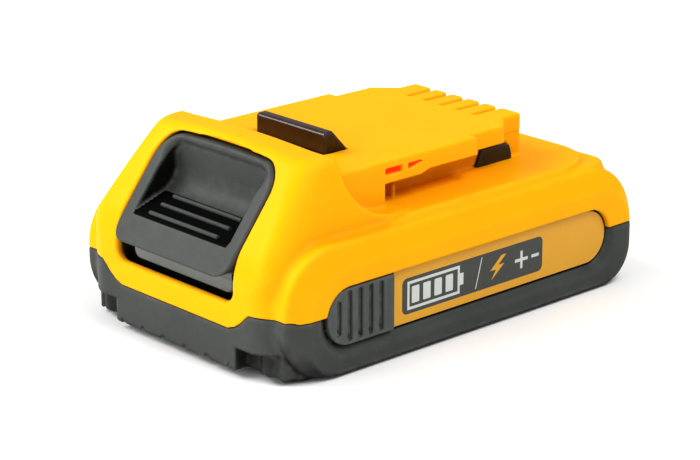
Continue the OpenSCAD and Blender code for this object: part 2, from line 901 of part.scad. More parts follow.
// Frame that holds one end of all cells, on the -Y side.
module cell_frame() {
  bore = cell_d / 2 + cell_clear;
  difference() {
    union() {
      translate([bank_x0 - frame_end, -frame_y1, floor_t])
        cube([bank_len + 2 * frame_end, frame_depth, frame_z1 - floor_t]);
      for (x = post_xs)
        translate([x, -post_y, frame_z1 - 1]) {
          cylinder(r = post_r, h = board_z0 - frame_z1 + 1);
          cylinder(r = peg_r, h = board_z1 - frame_z1 + 1.6);
        }
    }
    for (i = [1:cell_count])
      translate([cell_x(i), 0, cell_z])
        rotate([90, 0, 0])
          cylinder(r = bore, h = big);
    // valleys between the cells
    for (i = [1:cell_count - 1])
      for (z = [floor_t - 1, cell_z + cell_d / 2 - 2.2])
        translate([cell_x(i + 0.5) - 2.2, -frame_y0 - 4, z])
          cube([4.4, 5, z < cell_z ? 4.2 : 2]);
  }
}

module cell_frame_right() {
  color([0.2, 0.2, 0.22])
    cell_frame();
}

module cell_frame_left() {
  color([0.2, 0.2, 0.22])
    mirror([0, 1, 0])
      cell_frame();
}

// One cell; positive end towards +Y when side is 1, towards -Y when it is -1.
module cell(i, side) {
  r = cell_d / 2;
  neck = 3.2;
  cap_r = 4.6;
  cap_h = 0.5;
  color([0.16, 0.42, 0.62])
    translate([cell_x(i), 0, cell_z])
      rotate([-90 * side, 0, 0])
        translate([0, 0, -cell_y])
          rotate_extrude()
            polygon([
              [0, 0], [r - 0.6, 0], [r, 0.6], [r, cell_len - neck - 1], [r - 0.7, cell_len - neck - 0.4],
              [r - 0.7, cell_len - neck + 0.4], [r, cell_len - neck + 1], [r, cell_len - cap_h - 0.5],
              [r - 0.5, cell_len - cap_h], [cap_r, cell_len - cap_h], [cap_r, cell_len], [0, cell_len]
            ]);
}

module cell_1() {
  cell(1, 1);
}

module cell_2() {
  cell(2, -1);
}

module cell_3() {
  cell(3, 1);
}

module cell_4() {
  cell(4, -1);
}

module cell_5() {
  cell(5, 1);
}

// Nickel strip over the ends of cells i0 to i1 with a tab up to the board, on side s.
module strip(i0, i1, s) {
  x0 = cell_x(i0) - strip_w / 2;
  x1 = cell_x(i1) + strip_w / 2;
  tab_x = cell_x((i0 + i1) / 2) - 2;
  tab_in = 3.6;
  color(nickel)
    scale([1, s, 1]) {
      translate([x0, cell_y, cell_z - strip_w / 2])
        cube([x1 - x0, strip_t, strip_w]);
      translate([tab_x, cell_y, cell_z])
        cube([4, strip_t, board_z1 + strip_t - cell_z]);
      translate([tab_x, strip_y - tab_in, board_z1])
        cube([4, tab_in, strip_t]);
    }
}

module strip_negative() {
  strip(1, 1, -1);
}

module strip_link_12() {
  strip(1, 2, 1);
}

module strip_link_23() {
  strip(2, 3, -1);
}

module strip_link_34() {
  strip(3, 4, 1);
}

module strip_link_45() {
  strip(4, 5, -1);
}

module strip_positive() {
  strip(5, 5, 1);
}

module insulator() {
  translate([bank_x0 + sheet_end, strip_y, cell_z - sheet_h / 2])
    cube([bank_len - 2 * sheet_end, sheet_t, sheet_h]);
}

module insulator_right() {
  color([0.85, 0.83, 0.76])
    mirror([0, 1, 0])
      insulator();
}

module insulator_left() {
  color([0.85, 0.83, 0.76])
    insulator();
}

module circuit_board() {
  color([0.05, 0.33, 0.18])
    difference() {
      translate([board_x0, -board_hw, board_z0])
        cube([board_x1 - board_x0, 2 * board_hw, board_t]);
      for (x = post_xs, s = [-1, 1])
        translate([x, s * post_y, board_z0 - 1])
          cylinder(r = peg_r + peg_clear, h = board_t + 2);
    }
}

// Chips, resistors and capacitors on the board.
module board_components() {
  color([0.15, 0.15, 0.16])
    translate([0, 0, board_z1]) {
      translate([cell_x(2.5), -4, 0])
        cube([8, 8, 1.4]);
      for (y = [-20, -10, 10])
        translate([cell_x(2), y, 0])
          cube([6.4, 6, 2.3]);
      for (y = [-14, -8, 8, 14])
        translate([cell_x(3), y, 0])
          cube([2, 1.25, 0.8]);
      for (y = [17, 23])
        translate([cell_x(3), y, 0])
          cylinder(r = 2, h = 3);
      translate([cell_x(1.5), -3, 0])
        cube([6.4, 3.2, 0.9]);
    }
}

// Carrier that holds the contacts behind the terminal slots.
module terminal_block() {
  color(black)
    difference() {
      translate([block_x0, -block_hw, board_z1])
        cube([block_x1 - block_x0, 2 * block_hw, block_z1 - board_z1]);
      for (i = [-2:2])
        translate([block_x0 + 1.6, i * slot_pitch - contact_pocket / 2, contact_foot])
          cube([block_x1, contact_pocket, big]);
    }
}

// Fork contact that grips one blade of the tool, in slot i.
module fork_contact(i) {
  x1 = block_x1 - 0.8;
  x0 = x1 - contact_len;
  outer = contact_w / 2;
  inner = outer - contact_t;
  pinch = contact_gap / 2;
  color([0.8, 0.55, 0.3])
    translate([0, i * slot_pitch, contact_foot]) {
      linear_extrude(block_z1 - contact_foot - 0.6)
        for (s = [-1, 1])
          scale([1, s])
            polygon([
              [x0, -outer], [x0 + contact_t, -outer], [x0 + contact_t, inner], [x1 - 6, inner],
              [x1 - 2.6, pinch], [x1, inner], [x1, outer], [x1 - 0.6, outer], [x1 - 2.6, pinch + contact_t],
              [x1 - 6, outer], [x0, outer]
            ]);
      translate([x0, -outer, 0])
        cube([contact_len - 6, contact_w, 0.6]);
    }
}

module contact_negative() {
  fork_contact(-2);
}

module contact_positive() {
  fork_contact(2);
}

module signal_contacts() {
  for (i = [-1:1])
    fork_contact(i);
}

// Temperature sensor between the middle cell and the board.
module thermistor() {
  bead_r = board_gap / 2 - 0.05;
  color([0.1, 0.1, 0.1])
    translate([cell_x(3), 0, board_z0 - bead_r])
      rotate([90, 0, 0])
        cylinder(r = bead_r, h = 5, center = true);
}

upper_housing();
lower_housing();
release_latch();
latch_spring_right();
latch_spring_left();
grip_pad_right();
grip_pad_left();
label_right();
label_left();
rail_bumper_right();
rail_bumper_left();
housing_screws();
cell_frame_right();
cell_frame_left();
cell_1();
cell_2();
cell_3();
cell_4();
cell_5();
strip_negative();
strip_link_12();
strip_link_23();
strip_link_34();
strip_link_45();
strip_positive();
insulator_right();
insulator_left();
circuit_board();
board_components();
terminal_block();
contact_negative();
contact_positive();
signal_contacts();
thermistor();
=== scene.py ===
import math

import bmesh
import bpy
import numpy as np
from bpy.props import FloatProperty, FloatVectorProperty, PointerProperty
from mathutils import Matrix, Vector


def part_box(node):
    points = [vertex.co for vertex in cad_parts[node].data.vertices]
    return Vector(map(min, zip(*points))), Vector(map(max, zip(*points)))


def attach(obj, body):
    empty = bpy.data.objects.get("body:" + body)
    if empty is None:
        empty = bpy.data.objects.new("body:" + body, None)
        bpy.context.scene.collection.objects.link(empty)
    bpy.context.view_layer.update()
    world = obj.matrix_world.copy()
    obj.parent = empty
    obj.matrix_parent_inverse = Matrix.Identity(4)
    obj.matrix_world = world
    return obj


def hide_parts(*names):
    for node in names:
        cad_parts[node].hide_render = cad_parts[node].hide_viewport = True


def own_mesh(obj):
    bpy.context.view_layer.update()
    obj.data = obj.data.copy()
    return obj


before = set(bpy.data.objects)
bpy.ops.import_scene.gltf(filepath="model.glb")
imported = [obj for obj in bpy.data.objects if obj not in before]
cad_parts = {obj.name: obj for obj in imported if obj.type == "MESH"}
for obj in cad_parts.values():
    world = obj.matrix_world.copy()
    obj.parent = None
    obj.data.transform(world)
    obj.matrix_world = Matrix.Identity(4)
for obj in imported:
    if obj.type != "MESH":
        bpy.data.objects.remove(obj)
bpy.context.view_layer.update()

bl_info = {
    "name": "Slide-on battery pack",
    "version": (1, 0, 0),
    "blender": (4, 5, 0),
    "location": "3D View > Sidebar > Battery pack",
    "description": "Moulded skins, prints and finishes for a cordless tool battery pack",
    "category": "Object",
}

MM = 0.001

# Forms of the pack in millimetres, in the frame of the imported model. HW is half a width across.
SLOPE = math.radians(38)
X_FRONT, X_BACK = -56.48, 59.0
HALF_W = 37.5
BODY_HW, BODY_BACK, BODY_TOP = 34.0, 58, 31
POD_DEPTH = HALF_W - BODY_HW
BROW_Z = 26.2
LEDGE_Z, LEDGE_BACK, LEDGE_HW, LEDGE_R = 32.0, 51.3, 33.4, 14
RAIL_TOP, RAIL_BACK = 42.6, 37.3
CREST_Z, CREST_ARCH = 47.88, 0.0013
HUMP_BACK, HUMP_FILLET = -31.02, 14.4
CHEEK_HW, CHEEK_Z = 33.6, 31
WALL = 2.2
RECESS = (-43, 6.8, 49.5, 20.9)
RECESS_R, RECESS_Y = 6.9, 35.9
STOP_X, STOP_HW = -14.8, 26
WEB_HW, FLANGE_HW = 18.3, 23.4
SLOT_PITCH, LOBE_PITCH = 5.7, 7.8
BUMPER_BACK, BUMPER_TOP = 33.9, 36.3
BOSSES = [(-50.38, 28.4), (54.02, 26.0)]
BOSS_R, SCREW_SEAT = 3.2, 6.2
SPRING_X, SPRING_Y = -49.38, 13.0
SPRING_Z0, SPRING_Z1 = 4.4, 21.5
SEAM_GAP = 0.07
WINDOW_HW, WINDOW_FOOT, WINDOW_TOP = 20.75, 17.1, 46.6
BUTTON_HW, BUTTON_FOOT, BUTTON_TOP = 20.4, 22.97, 46.05
SCOOP_HW, SCOOP_BACK, SCOOP_R = 16.8, -40.8, 4.5
SCOOP_LIP = [39.5, 43.5]
SKIRT_X, SKIRT_HW = -52.4, 17.6


def colour(name, about, value):
    """Colour property."""
    return FloatVectorProperty(
        name=name, description=about, subtype="COLOR", size=4, default=(*value, 1), min=0, max=1)


def number(name, about, value, low, high, subtype="NONE"):
    """Number property."""
    return FloatProperty(
        name=name, description=about, subtype=subtype, default=value, min=low, max=high, precision=5)


class PackFinish(bpy.types.PropertyGroup):
    """Colours and surface values of the pack."""
    shell: colour("Upper shell", "Colour of the upper housing", (0.88, 0.42, 0.003))
    base: colour("Lower shell", "Colour of the lower housing", (0.066, 0.072, 0.067))
    latch: colour("Latch", "Colour of the button and its skirt", (0.072, 0.078, 0.073))
    # The wedge is the same dark plastic as the button; its brown tint is a painted reflection of the yellow housing.
    wedge: colour("Wedge", "Colour of the locking wedge", (0.030, 0.008, 0.003))
    film: colour("Label film", "Colour of the side labels", (0.64, 0.34, 0.012))
    panel: colour("Label panel", "Colour of the dark panel on the labels", (0.052, 0.057, 0.050))
    ink: colour("Label marks", "Colour of the pale marks on the labels", (0.55, 0.57, 0.55))
    grain: number("Grain", "Size of the moulded grain", 0.00035, 0.0001, 0.002, "DISTANCE")
    # Edge wear is partly a painted highlight along convex edges.
    wear: number("Edge wear", "Strength of the worn edges", 0.35, 0, 1, "FACTOR")
    dust: number("Dust", "Strength of the dust in creases", 0.25, 0, 1, "FACTOR")


class PackShape(bpy.types.PropertyGroup):
    """Edge radii and mesh spacing of the moulded skins."""
    edge: number("Window edge", "Edge radius round the button opening", 0.0009, 0.0002, 0.002, "DISTANCE")
    seam: number("Seam edge", "Edge radius along the joint of the housings", 0.00035, 0.0001, 0.001, "DISTANCE")
    spacing: number("Mesh spacing", "Spacing of the housing meshes", 0.00066, 0.0004, 0.002, "DISTANCE")
    fine: number("Fine spacing", "Spacing of the latch mesh", 0.00042, 0.0002, 0.002, "DISTANCE")


class PackStage(bpy.types.PropertyGroup):
    """Floor, light and camera."""
    floor: colour("Floor", "Colour of the floor", (0.93, 0.93, 0.93))
    sky: number("Room light", "Strength of the even light all round", 0.52, 0, 5)
    key: number("Key light", "Power of the low light before the latch end", 3.3, 0, 100, "POWER")
    left: number("Left light", "Power of the high light on the far side of the latch end", 5.5, 0, 100, "POWER")
    side: number("Side light", "Power of the high light on the label's side", 5.2, 0, 100, "POWER")
    lens: number("Lens", "Focal length of the camera in millimetres", 126.87, 10, 500)


# Signed distances: below zero inside. Joined forms get a fillet, edges a radius.
# Here x, y and z are places in millimetres and a is the distance from the middle plane.

def meet(a, b, r=0.0):
    """What lies in both forms, with the edge between them rounded."""
    if np.isscalar(r) and r <= 0:
        return np.maximum(a, b)
    return np.minimum(np.maximum(a, b), -r) + np.hypot(np.maximum(a + r, 0), np.maximum(b + r, 0))


def join(a, b, r):
    """Both forms together, with a fillet between them."""
    return np.maximum(np.minimum(a, b), r) - np.hypot(np.maximum(r - a, 0), np.maximum(r - b, 0))


def cut(a, b, r=0.0):
    """The first form less the second, with the new edge rounded."""
    return meet(a, -b, r)


def both(*forms):
    """What lies in all of the forms, with sharp edges."""
    return np.maximum.reduce(np.broadcast_arrays(*forms))


def soft_rect(u, v, u0, v0, u1, v1, r_foot, r_top, r_far_foot=None, r_far_top=None):
    """Rectangle with round corners; the far corners may have radii of their own."""
    cu, cv = (u0 + u1) / 2, (v0 + v1) / 2
    far_foot = r_foot if r_far_foot is None else r_far_foot
    far_top = r_top if r_far_top is None else r_far_top
    r = np.where(u > cu, np.where(v > cv, far_top, far_foot), np.where(v > cv, r_top, r_foot))
    qu = np.abs(u - cu) - (u1 - u0) / 2 + r
    qv = np.abs(v - cv) - (v1 - v0) / 2 + r
    return np.minimum(np.maximum(qu, qv), 0) + np.hypot(np.maximum(qu, 0), np.maximum(qv, 0)) - r


def outline(u, v, points):
    """Distance to a closed outline of straight edges."""
    d = np.full(u.shape, 1e9)
    inside = np.zeros(u.shape, bool)
    for (u0, v0), (u1, v1) in zip(points, points[1:] + points[:1]):
        eu, ev = u1 - u0, v1 - v0
        t = np.clip(((u - u0) * eu + (v - v0) * ev) / (eu * eu + ev * ev), 0, 1)
        d = np.minimum(d, np.hypot(u - u0 - t * eu, v - v0 - t * ev))
        if ev:
            inside ^= ((v0 <= v) != (v1 <= v)) & (u < u0 + (v - v0) * eu / ev)
    return np.where(inside, -d, d)


def between(t, t0, t1):
    """Distance to a slab from t0 to t1."""
    return np.abs(t - (t0 + t1) / 2) - (t1 - t0) / 2


def nearest_of_five(y, pitch):
    """Nearest of five places across the pack, the third in the middle."""
    return np.round(np.clip(y, -2 * pitch, 2 * pitch) / pitch) * pitch


def slope_x(z):
    """Where the front slope is at a height."""
    return X_FRONT + (z - BROW_Z) * math.tan(SLOPE)


def hump(x, a, z, inset=0.0):
    """Head of the case round the button, open to the back."""
    nose = meet(X_FRONT - x, (slope_x(z) - x) * math.cos(SLOPE), 3) + inset
    cheek = ((a - CHEEK_HW) * 14 + (z - CHEEK_Z) * 5.1) / 14.9
    side = meet(a - BODY_HW, cheek, 8) + inset
    crest = z - CREST_Z + CREST_ARCH * a * a + inset
    return meet(meet(nose, side, np.interp(z, [20, 30], [8.6, 6])), crest, 1.6)


def tool_room(x, z, grow=0.0):
    """Room behind the hump that the tool's foot slides into."""
    return meet(HUMP_BACK - grow - x, LEDGE_Z - grow - z, HUMP_FILLET + grow)


def pod(x, a, z):
    """Side pod: a low wall, a sloped border and a flat face."""
    rim = soft_rect(x, z, -53.8, 0, X_BACK, 30.6, 13.6, 14, 10, 15)
    face = soft_rect(x, z, -47.3, 0.9, X_BACK - 2, 24.9, 8, 9.5, 9, 11)
    share = np.clip(-rim / np.maximum(face - rim, 1e-6), 0, 1)
    soft = 0.03
    rise = 1 - 0.55 * (np.hypot(1 - share, soft) - soft) / (math.hypot(1, soft) - soft)
    bulge = (a - BODY_HW - POD_DEPTH * rise) * 0.9
    return both(meet(rim, bulge, 0.9), 24 - a)


def case_form(x, a, z):
    """Closed outside of both housings below the ledge, with the hump."""
    front = cut(hump(x, a, z), tool_room(x, z), np.interp(a, [22, 27], [1.3, 0.5]))
    front = both(front, x + 12)
    lean = ((x - BODY_BACK) * 10 + (z - 21) * 5.2) / 11.27
    body = meet(meet(meet(x - BODY_BACK, a - BODY_HW, 5), lean, 5), z - BODY_TOP, 0.8)
    body = both(body, -20 - x)
    return join(join(front, body, 1.2), pod(x, a, z), 0.9)


def shelf(x, a, z):
    """Ledge plate under the rail block, which sinks a little towards the hump."""
    top = LEDGE_Z - 0.2 * np.clip(-14 - x, 0, 6)
    plate = meet(meet(x - LEDGE_BACK, a - LEDGE_HW, LEDGE_R), (z - top) * 0.98, 0.5)
    return both(plate, -20 - x, 28 - z)


RAIL_PLAN = [
    (-32, -60), (RAIL_BACK, -60), (RAIL_BACK, WEB_HW), (31.6, WEB_HW), (26.5, FLANGE_HW), (15, FLANGE_HW),
    (15, STOP_HW), (-32, STOP_HW),
]


def flange_windows(x, a, z):
    """Two small windows in the side of each flange."""
    first = both(between(x, STOP_X, -9.5), between(z, 39.3, 40.9))
    second = outline(x, z, [(-7.6, 39.2), (-1.8, 40.8), (-7.6, 40.8)])
    return both(np.minimum(first, second), FLANGE_HW - a)


def bumper(x, a, z):
    """Cushion in the side of the rail block."""
    side = outline(x, z, [(21.8, 31.9), (BUMPER_BACK, 31.9), (BUMPER_BACK, BUMPER_TOP), (23.6, BUMPER_TOP)])
    corner = meet(side, ((x - BUMPER_BACK) + (z - BUMPER_TOP)) / 1.414 + 0.83, 2)
    return meet(corner, between(a, 17.1, 19.1), 0.5)


def rail(x, y, a, z):
    """Rail block with grooves, flange windows and toothed terminal end."""
    plan = outline(x, a, RAIL_PLAN)
    slots = both(np.abs(y - nearest_of_five(y, SLOT_PITCH)) - 0.65, 28.2 - x)
    teeth = meet(cut(plan, slots, 1.2), z - RAIL_TOP, 0.55)
    block = both(np.minimum(teeth, both(plan, z - 33.2)), 29 - z)
    groove_top = np.interp(x, [-3.4, -0.8], [37.2, 38.1])
    groove = both(WEB_HW - a, z - groove_top, 31 - z, STOP_X - x)
    block = cut(block, groove, 0.3)
    fin = both(between(x, -8.9, -8.1), between(a, WEB_HW - 1, 22.2), between(z, 31, 35.2))
    return cut(np.minimum(block, fin), flange_windows(x, a, z), 0.15)


def hollow(x, a, z):
    """Inside of both housings."""
    hw = np.interp(z, [25.2, 29.6], [33.7, 31.6])
    hw = hw - np.interp(x, [-47, -34], [1, 0]) * np.clip(z - 19, 0, 9)
    bank = both(between(x, -47.2, 50.8), a - hw, between(z, 2.4, 29.6))
    bank = both(bank, np.minimum(z - 27.3, x - 39.3))
    front = both(hump(x, a, z, WALL), -tool_room(x, z, WALL), 4 - z, x + 14)
    back = both(between(x, 49.8, 55.8), a - 25, between(z, 2.4, 29.6))
    back = both(back, ((x - 55.8) * 9.6 + (z - 20) * 7.7) / 12.3)
    under = between(z, 28.6, 40.4)
    plate = both(between(x, -31.7, 35.1), a - 16.1, under)
    stop = both(between(x, -26.3, -17), a - 23.8, under)
    return np.minimum.reduce([bank, front, back, plate, stop])


def joint_height(x, a):
    """Height of the joint between the housings: dips below the button, rises at the corners."""
    front = np.interp(a, [19.1, 21.4, 23.4, 24.8, 26.2], [11.1, 11.9, 13.3, 14.6, 15.8])
    share = np.clip((-49.8 - x) / 3.2, 0, 1)
    share = share * share * (3 - 2 * share)
    return 15 + share * (front - 15)


def label_recess(x, a, z):
    """Recess of the grip pad and the label, with a deeper gap round them."""
    shape = soft_rect(x, z, *RECESS, RECESS_R, RECESS_R)
    gap = both(shape, -0.45 - shape, RECESS_Y - 1.2 - a)
    return np.minimum(both(shape, RECESS_Y - a), gap)


def arched(y, z):
    """Height above a top edge that sinks towards its ends."""
    return z + 0.0022 * y * y * np.clip((z - 30) / 10, 0, 1)


def button_window(x, y, z):
    """Opening for the button in the front slope."""
    shape = soft_rect(y, arched(y, z), -WINDOW_HW, WINDOW_FOOT, WINDOW_HW, WINDOW_TOP, 3.2, 5.8)
    return both(shape, x - slope_x(45.9) - 3.2)


def upper_field(x, y, z, edge, seam):
    """Upper housing."""
    a = np.abs(y)
    f = join(case_form(x, a, z), shelf(x, a, z), 0.7)
    f = join(f, rail(x, y, a, z), 0.6)
    f = both(f, -hollow(x, a, z))
    for (bx, by), z1 in zip(BOSSES, (26.7, 23)):
        post = np.hypot(x - bx, a - by)
        f = np.minimum(f, both(post - BOSS_R, between(z, 15, z1)))
        f = cut(f, both(post - 1.35, z - 23.2))
    f = cut(f, button_window(x, y, z), edge)
    wedge_slot = both(between(x, -21.2, -13.5), a - 12.2, 39 - z)
    f = cut(f, wedge_slot, 0.3)
    f = cut(f, label_recess(x, a, z), 0.3)
    f = cut(f, bumper(x, a, z) - 0.12)
    return meet(f, joint_height(x, a) + SEAM_GAP - z, seam)


def corner_notch(x, a, z):
    """Notch at the front corners that shows the screw boss."""
    return both(x - X_FRONT - 3.7, between(a, 21.6, 32.7), z - 7)


def lower_field(x, y, z, seam):
    """Lower housing with the finger lobes and the corner notches."""
    a = np.abs(y)
    f = meet(case_form(x, a, z), -z, 0.8)
    lift = 1.6 * np.clip((X_FRONT + 11 - x) / 5, 0, 1) * np.clip((35 - a) / 1.5, 0, 1)
    lift = lift - np.clip(1 - np.abs(a - 32.9) / 0.9, 0, 1)
    f = meet(f, (lift - z) * 0.9, 0.6)
    lobe = np.hypot(y - nearest_of_five(y, LOBE_PITCH), z - 7.8) - 6.5
    gaps = both(x - X_FRONT - 4, a - 19.5, z - 3.4, -lobe)
    f = cut(f, gaps, 0.3)
    notch = corner_notch(x, a, z)
    f = both(f, -both(hollow(x, a, z), 1.6 - notch))
    f = cut(f, notch, 0.5)
    for (bx, by), (z0, z1) in zip(BOSSES, [(1.6, 15.8), (0.5, 15)]):
        post = np.hypot(x - bx, a - by)
        f = join(f, meet(post - BOSS_R, between(z, z0, z1), 0.3), 0.3)
        f = cut(f, post - 1.5)
        f = cut(f, both(post - 2.3, z - SCREW_SEAT), 0.25)
    cup = np.hypot(x - SPRING_X, a - SPRING_Y)
    f = np.minimum(f, both(cup - 4.2, between(z, 2, 8.4)))
    f = cut(f, both(cup - 3.3, SPRING_Z0 - z))
    flare = soft_rect(x, z, *RECESS[:3], 30, RECESS_R, 2) - 2.1 * np.clip((a - RECESS_Y) / 1.6, 0, 1.2)
    f = cut(f, both(flare * 0.6, RECESS_Y - a), 0.2)
    f = cut(f, label_recess(x, a, z), 0.15)
    return meet(f, z - joint_height(x, a) + SEAM_GAP, seam)


LATCH_SIDE = [
    (-59.0, BUTTON_FOOT), (-40.97, BUTTON_TOP), (-38.5, BUTTON_TOP), (-38.5, 34), (-44.8, 29.6), (-52.7, 26.4),
    (-52.7, BUTTON_FOOT),
]
GUSSET_SIDE = [(-53.5, 22.5), (-47.2, 22.5), (-43.5, 29.6), (-53.5, 26.4)]
WEDGE_SIDE = [
    (-20.9, 39.4), (-20.9, 46.9), (-20.3, 47.5), (-18.3, 47.5), (-13.8, RAIL_TOP), (-13.8, 39.4),
]


def scoop_height(x):
    """Height of the floor of the thumb hollow."""
    return 29.2 + 0.333 * (x + 54)


def scoop_floor(x, z):
    """Distance below the floor of the thumb hollow."""
    return (scoop_height(x) - z) * 0.949


def scoop_shell(x, z):
    """Floor and back of the thumb hollow."""
    return meet(x - SCOOP_BACK, scoop_floor(x, z), SCOOP_R)


def latch_field(x, y, z):
    """Button with the thumb hollow, skirt, spring web, arm and wedge."""
    a = np.abs(y)
    shape = soft_rect(y, arched(y, z), -BUTTON_HW, BUTTON_FOOT, BUTTON_HW, BUTTON_TOP, 4, 5.5)
    f = meet(outline(x, z, LATCH_SIDE), shape, 0.7)
    scoop = meet(scoop_shell(x, z), soft_rect(y, z, -SCOOP_HW, 15, SCOOP_HW, 43.8, 1, 3.5), 0.8)
    f = cut(f, scoop, np.interp(z, SCOOP_LIP, [0.35, 2.6]))
    skirt = soft_rect(y, z, -SKIRT_HW, 17.95, SKIRT_HW, 27.5, 2, 0.5)
    skirt = meet(between(x, SKIRT_X - 1.2, SKIRT_X), skirt, 0.3)
    # A thin plate behind the skirt; its lower part is painted near black as painted shade for the inside of the
    # opening.
    shade_plate = both(between(x, SKIRT_X - 0.5, SKIRT_X), soft_rect(y, z, -20.2, 16.3, 20.2, 26, 0.5, 0.5))
    web = both(between(x, -53.9, -46), a - 18.3, between(z, SPRING_Z1, 23.5))
    pin = both(np.hypot(x - SPRING_X, a - SPRING_Y) - 1.9, between(z, 17.5, 22.5))
    gusset = both(outline(x, z, GUSSET_SIDE), np.minimum(a - 0.8, between(a, 16.9, 18.3)))
    arm = both(between(x, -39, -11.8), a - 14.9, between(z, 36.9, 40.4))
    wedge = meet(outline(x, z, WEDGE_SIDE), a - 11.9, 0.3)
    return np.minimum.reduce([f, skirt, shade_plate, web, pin, gusset, meet(arm, a - 14.9, 0.4), wedge])


PAD_GROOVES = [(-39.3, 9.7, 17.9)] + [(x, 7.9, 19.8) for x in (-36.1, -32.9, -29.7, -26.5)]


def pad_field(x, y, z):
    """Ribbed grip pad on the -Y side."""
    a = -y
    shape = soft_rect(x, z, -42.7, 7.1, -22.4, 20.6, 6.6, 6.6, 0.6, 0.6)
    f = meet(shape, between(a, RECESS_Y, HALF_W - 0.12), 0.55)
    for gx, z0, z1 in PAD_GROOVES:
        bar = soft_rect(x, z, gx - 0.65, z0, gx + 0.65, z1, 0.6, 0.6)
        f = cut(f, both(bar, HALF_W - 1.0 - a), 0.45)
        dot = np.hypot(x - gx, z - z0 - 0.9) - 0.5
        f = cut(f, both(dot, RECESS_Y + 0.3 - a), 0.1)
    return f


def bumper_field(x, y, z):
    """Cushion on the -Y side."""
    return both(bumper(x, -y, z), LEDGE_Z - z)


def lattice(field, low, high, step):
    """Closed quad skin of field = 0: vertices, normals, how sharp each vertex is, and quads."""
    block = 4
    low = np.asarray(low, float) - 2.5 * step
    count = np.ceil((np.asarray(high, float) + 2.5 * step - low) / (step * block)).astype(int)
    middles = [low[k] + (np.arange(count[k]) + 0.5) * step * block for k in range(3)]
    rough = field(*[m.ravel() for m in np.meshgrid(*middles, indexing="ij")]).reshape(count)
    near = np.abs(rough) < 1.4 * step * block
    size = count * block + 1
    values = np.ones(size)
    spread = lambda m: m.repeat(block, 0).repeat(block, 1).repeat(block, 2)
    values[:-1, :-1, :-1] = spread(np.where(rough < 0, -1.0, 1.0))
    wanted = np.zeros(size, bool)
    fine = spread(near)
    for i, j, k in np.ndindex(2, 2, 2):
        wanted[i:size[0] - 1 + i, j:size[1] - 1 + j, k:size[2] - 1 + k] |= fine
    values[wanted] = field(*(low + np.argwhere(wanted) * step).T)
    grad = lambda p, h: np.stack([
        (field(*(p + h * e).T) - field(*(p - h * e).T)) / (2 * h) for e in np.eye(3)], 1)
    unit = lambda v: v / np.maximum(np.linalg.norm(v, axis=1, keepdims=True), 1e-9)
    # A point on each lattice edge that crosses the skin, and the ring of four cells round it.
    inside = values < 0
    cells = size - 1
    points, owners = [], []
    on = np.eye(3, dtype=int)
    for axis in range(3):
        u, v = (axis + 1) % 3, (axis + 2) % 3
        lower, upper = [slice(None)] * 3, [slice(None)] * 3
        lower[axis], upper[axis] = slice(0, -1), slice(1, None)
        edges = np.argwhere(inside[tuple(lower)] != inside[tuple(upper)])
        v0 = values[tuple(edges.T)]
        v1 = values[tuple((edges + on[axis]).T)]
        points.append(low + (edges + (v0 / (v0 - v1))[:, None] * on[axis]) * step)
        ring = np.stack([edges - du * on[u] - dv * on[v] for du, dv in ((1, 1), (0, 1), (0, 0), (1, 0))], 1)
        ring[v0 >= 0] = ring[v0 >= 0][:, ::-1]
        owners.append((ring[..., 0] * cells[1] + ring[..., 1]) * cells[2] + ring[..., 2])
    points = np.concatenate(points)
    owners = np.concatenate(owners)
    ids, quads = np.unique(owners, return_inverse=True)
    quads = quads.reshape(owners.shape)
    # Each cell's vertex lies where the planes at its points meet.
    normals = unit(grad(points, 1e-3))
    total = lambda w: np.bincount(quads.ravel(), np.repeat(w, 4), len(ids))
    crossings = total(np.ones(len(points)))
    centre = np.stack([total(points[:, k]) for k in range(3)], 1) / crossings[:, None]
    pull = (normals * points).sum(1)
    fit = np.empty((len(ids), 3, 3))
    goal = np.empty((len(ids), 3))
    for i in range(3):
        goal[:, i] = total(normals[:, i] * pull)
        for j in range(3):
            fit[:, i, j] = total(normals[:, i] * normals[:, j])
    goal -= np.einsum("nij,nj->ni", fit, centre)
    fit += 0.06 * np.eye(3)
    spot = centre + np.linalg.solve(fit, goal[..., None])[..., 0]
    cell = np.stack(np.unravel_index(ids, cells), 1)
    spot = np.clip(spot, low + cell * step, low + (cell + 1) * step)
    slope = grad(spot, 1e-3)
    shift = field(*spot.T) / np.maximum((slope * slope).sum(1), 0.05)
    spot -= np.clip(shift, -0.4 * step, 0.4 * step)[:, None] * slope
    # The field 1 mm to all sides tells an edge from a crease.
    facing = unit(grad(spot, 0.3 * step))
    side = unit(np.cross(facing, np.where(np.abs(facing[:, :1]) < 0.8, [[1.0, 0, 0]], [[0, 1.0, 0]])))
    other = np.cross(facing, side)
    bend = sum(field(*(spot + s * t).T) for t in (side, other) for s in (1, -1)) / 4
    return spot, facing, bend, quads


def vectors(items, key):
    """Vectors of a mesh's vertices or faces."""
    flat = np.empty(len(items) * 3, np.float32)
    items.foreach_get(key, flat)
    return flat.reshape(-1, 3)


def mark(mesh, key, values):
    """Stores a value at each vertex."""
    layer = mesh.attributes.new(key, "FLOAT", "POINT")
    layer.data.foreach_set("value", values.astype(np.float32))


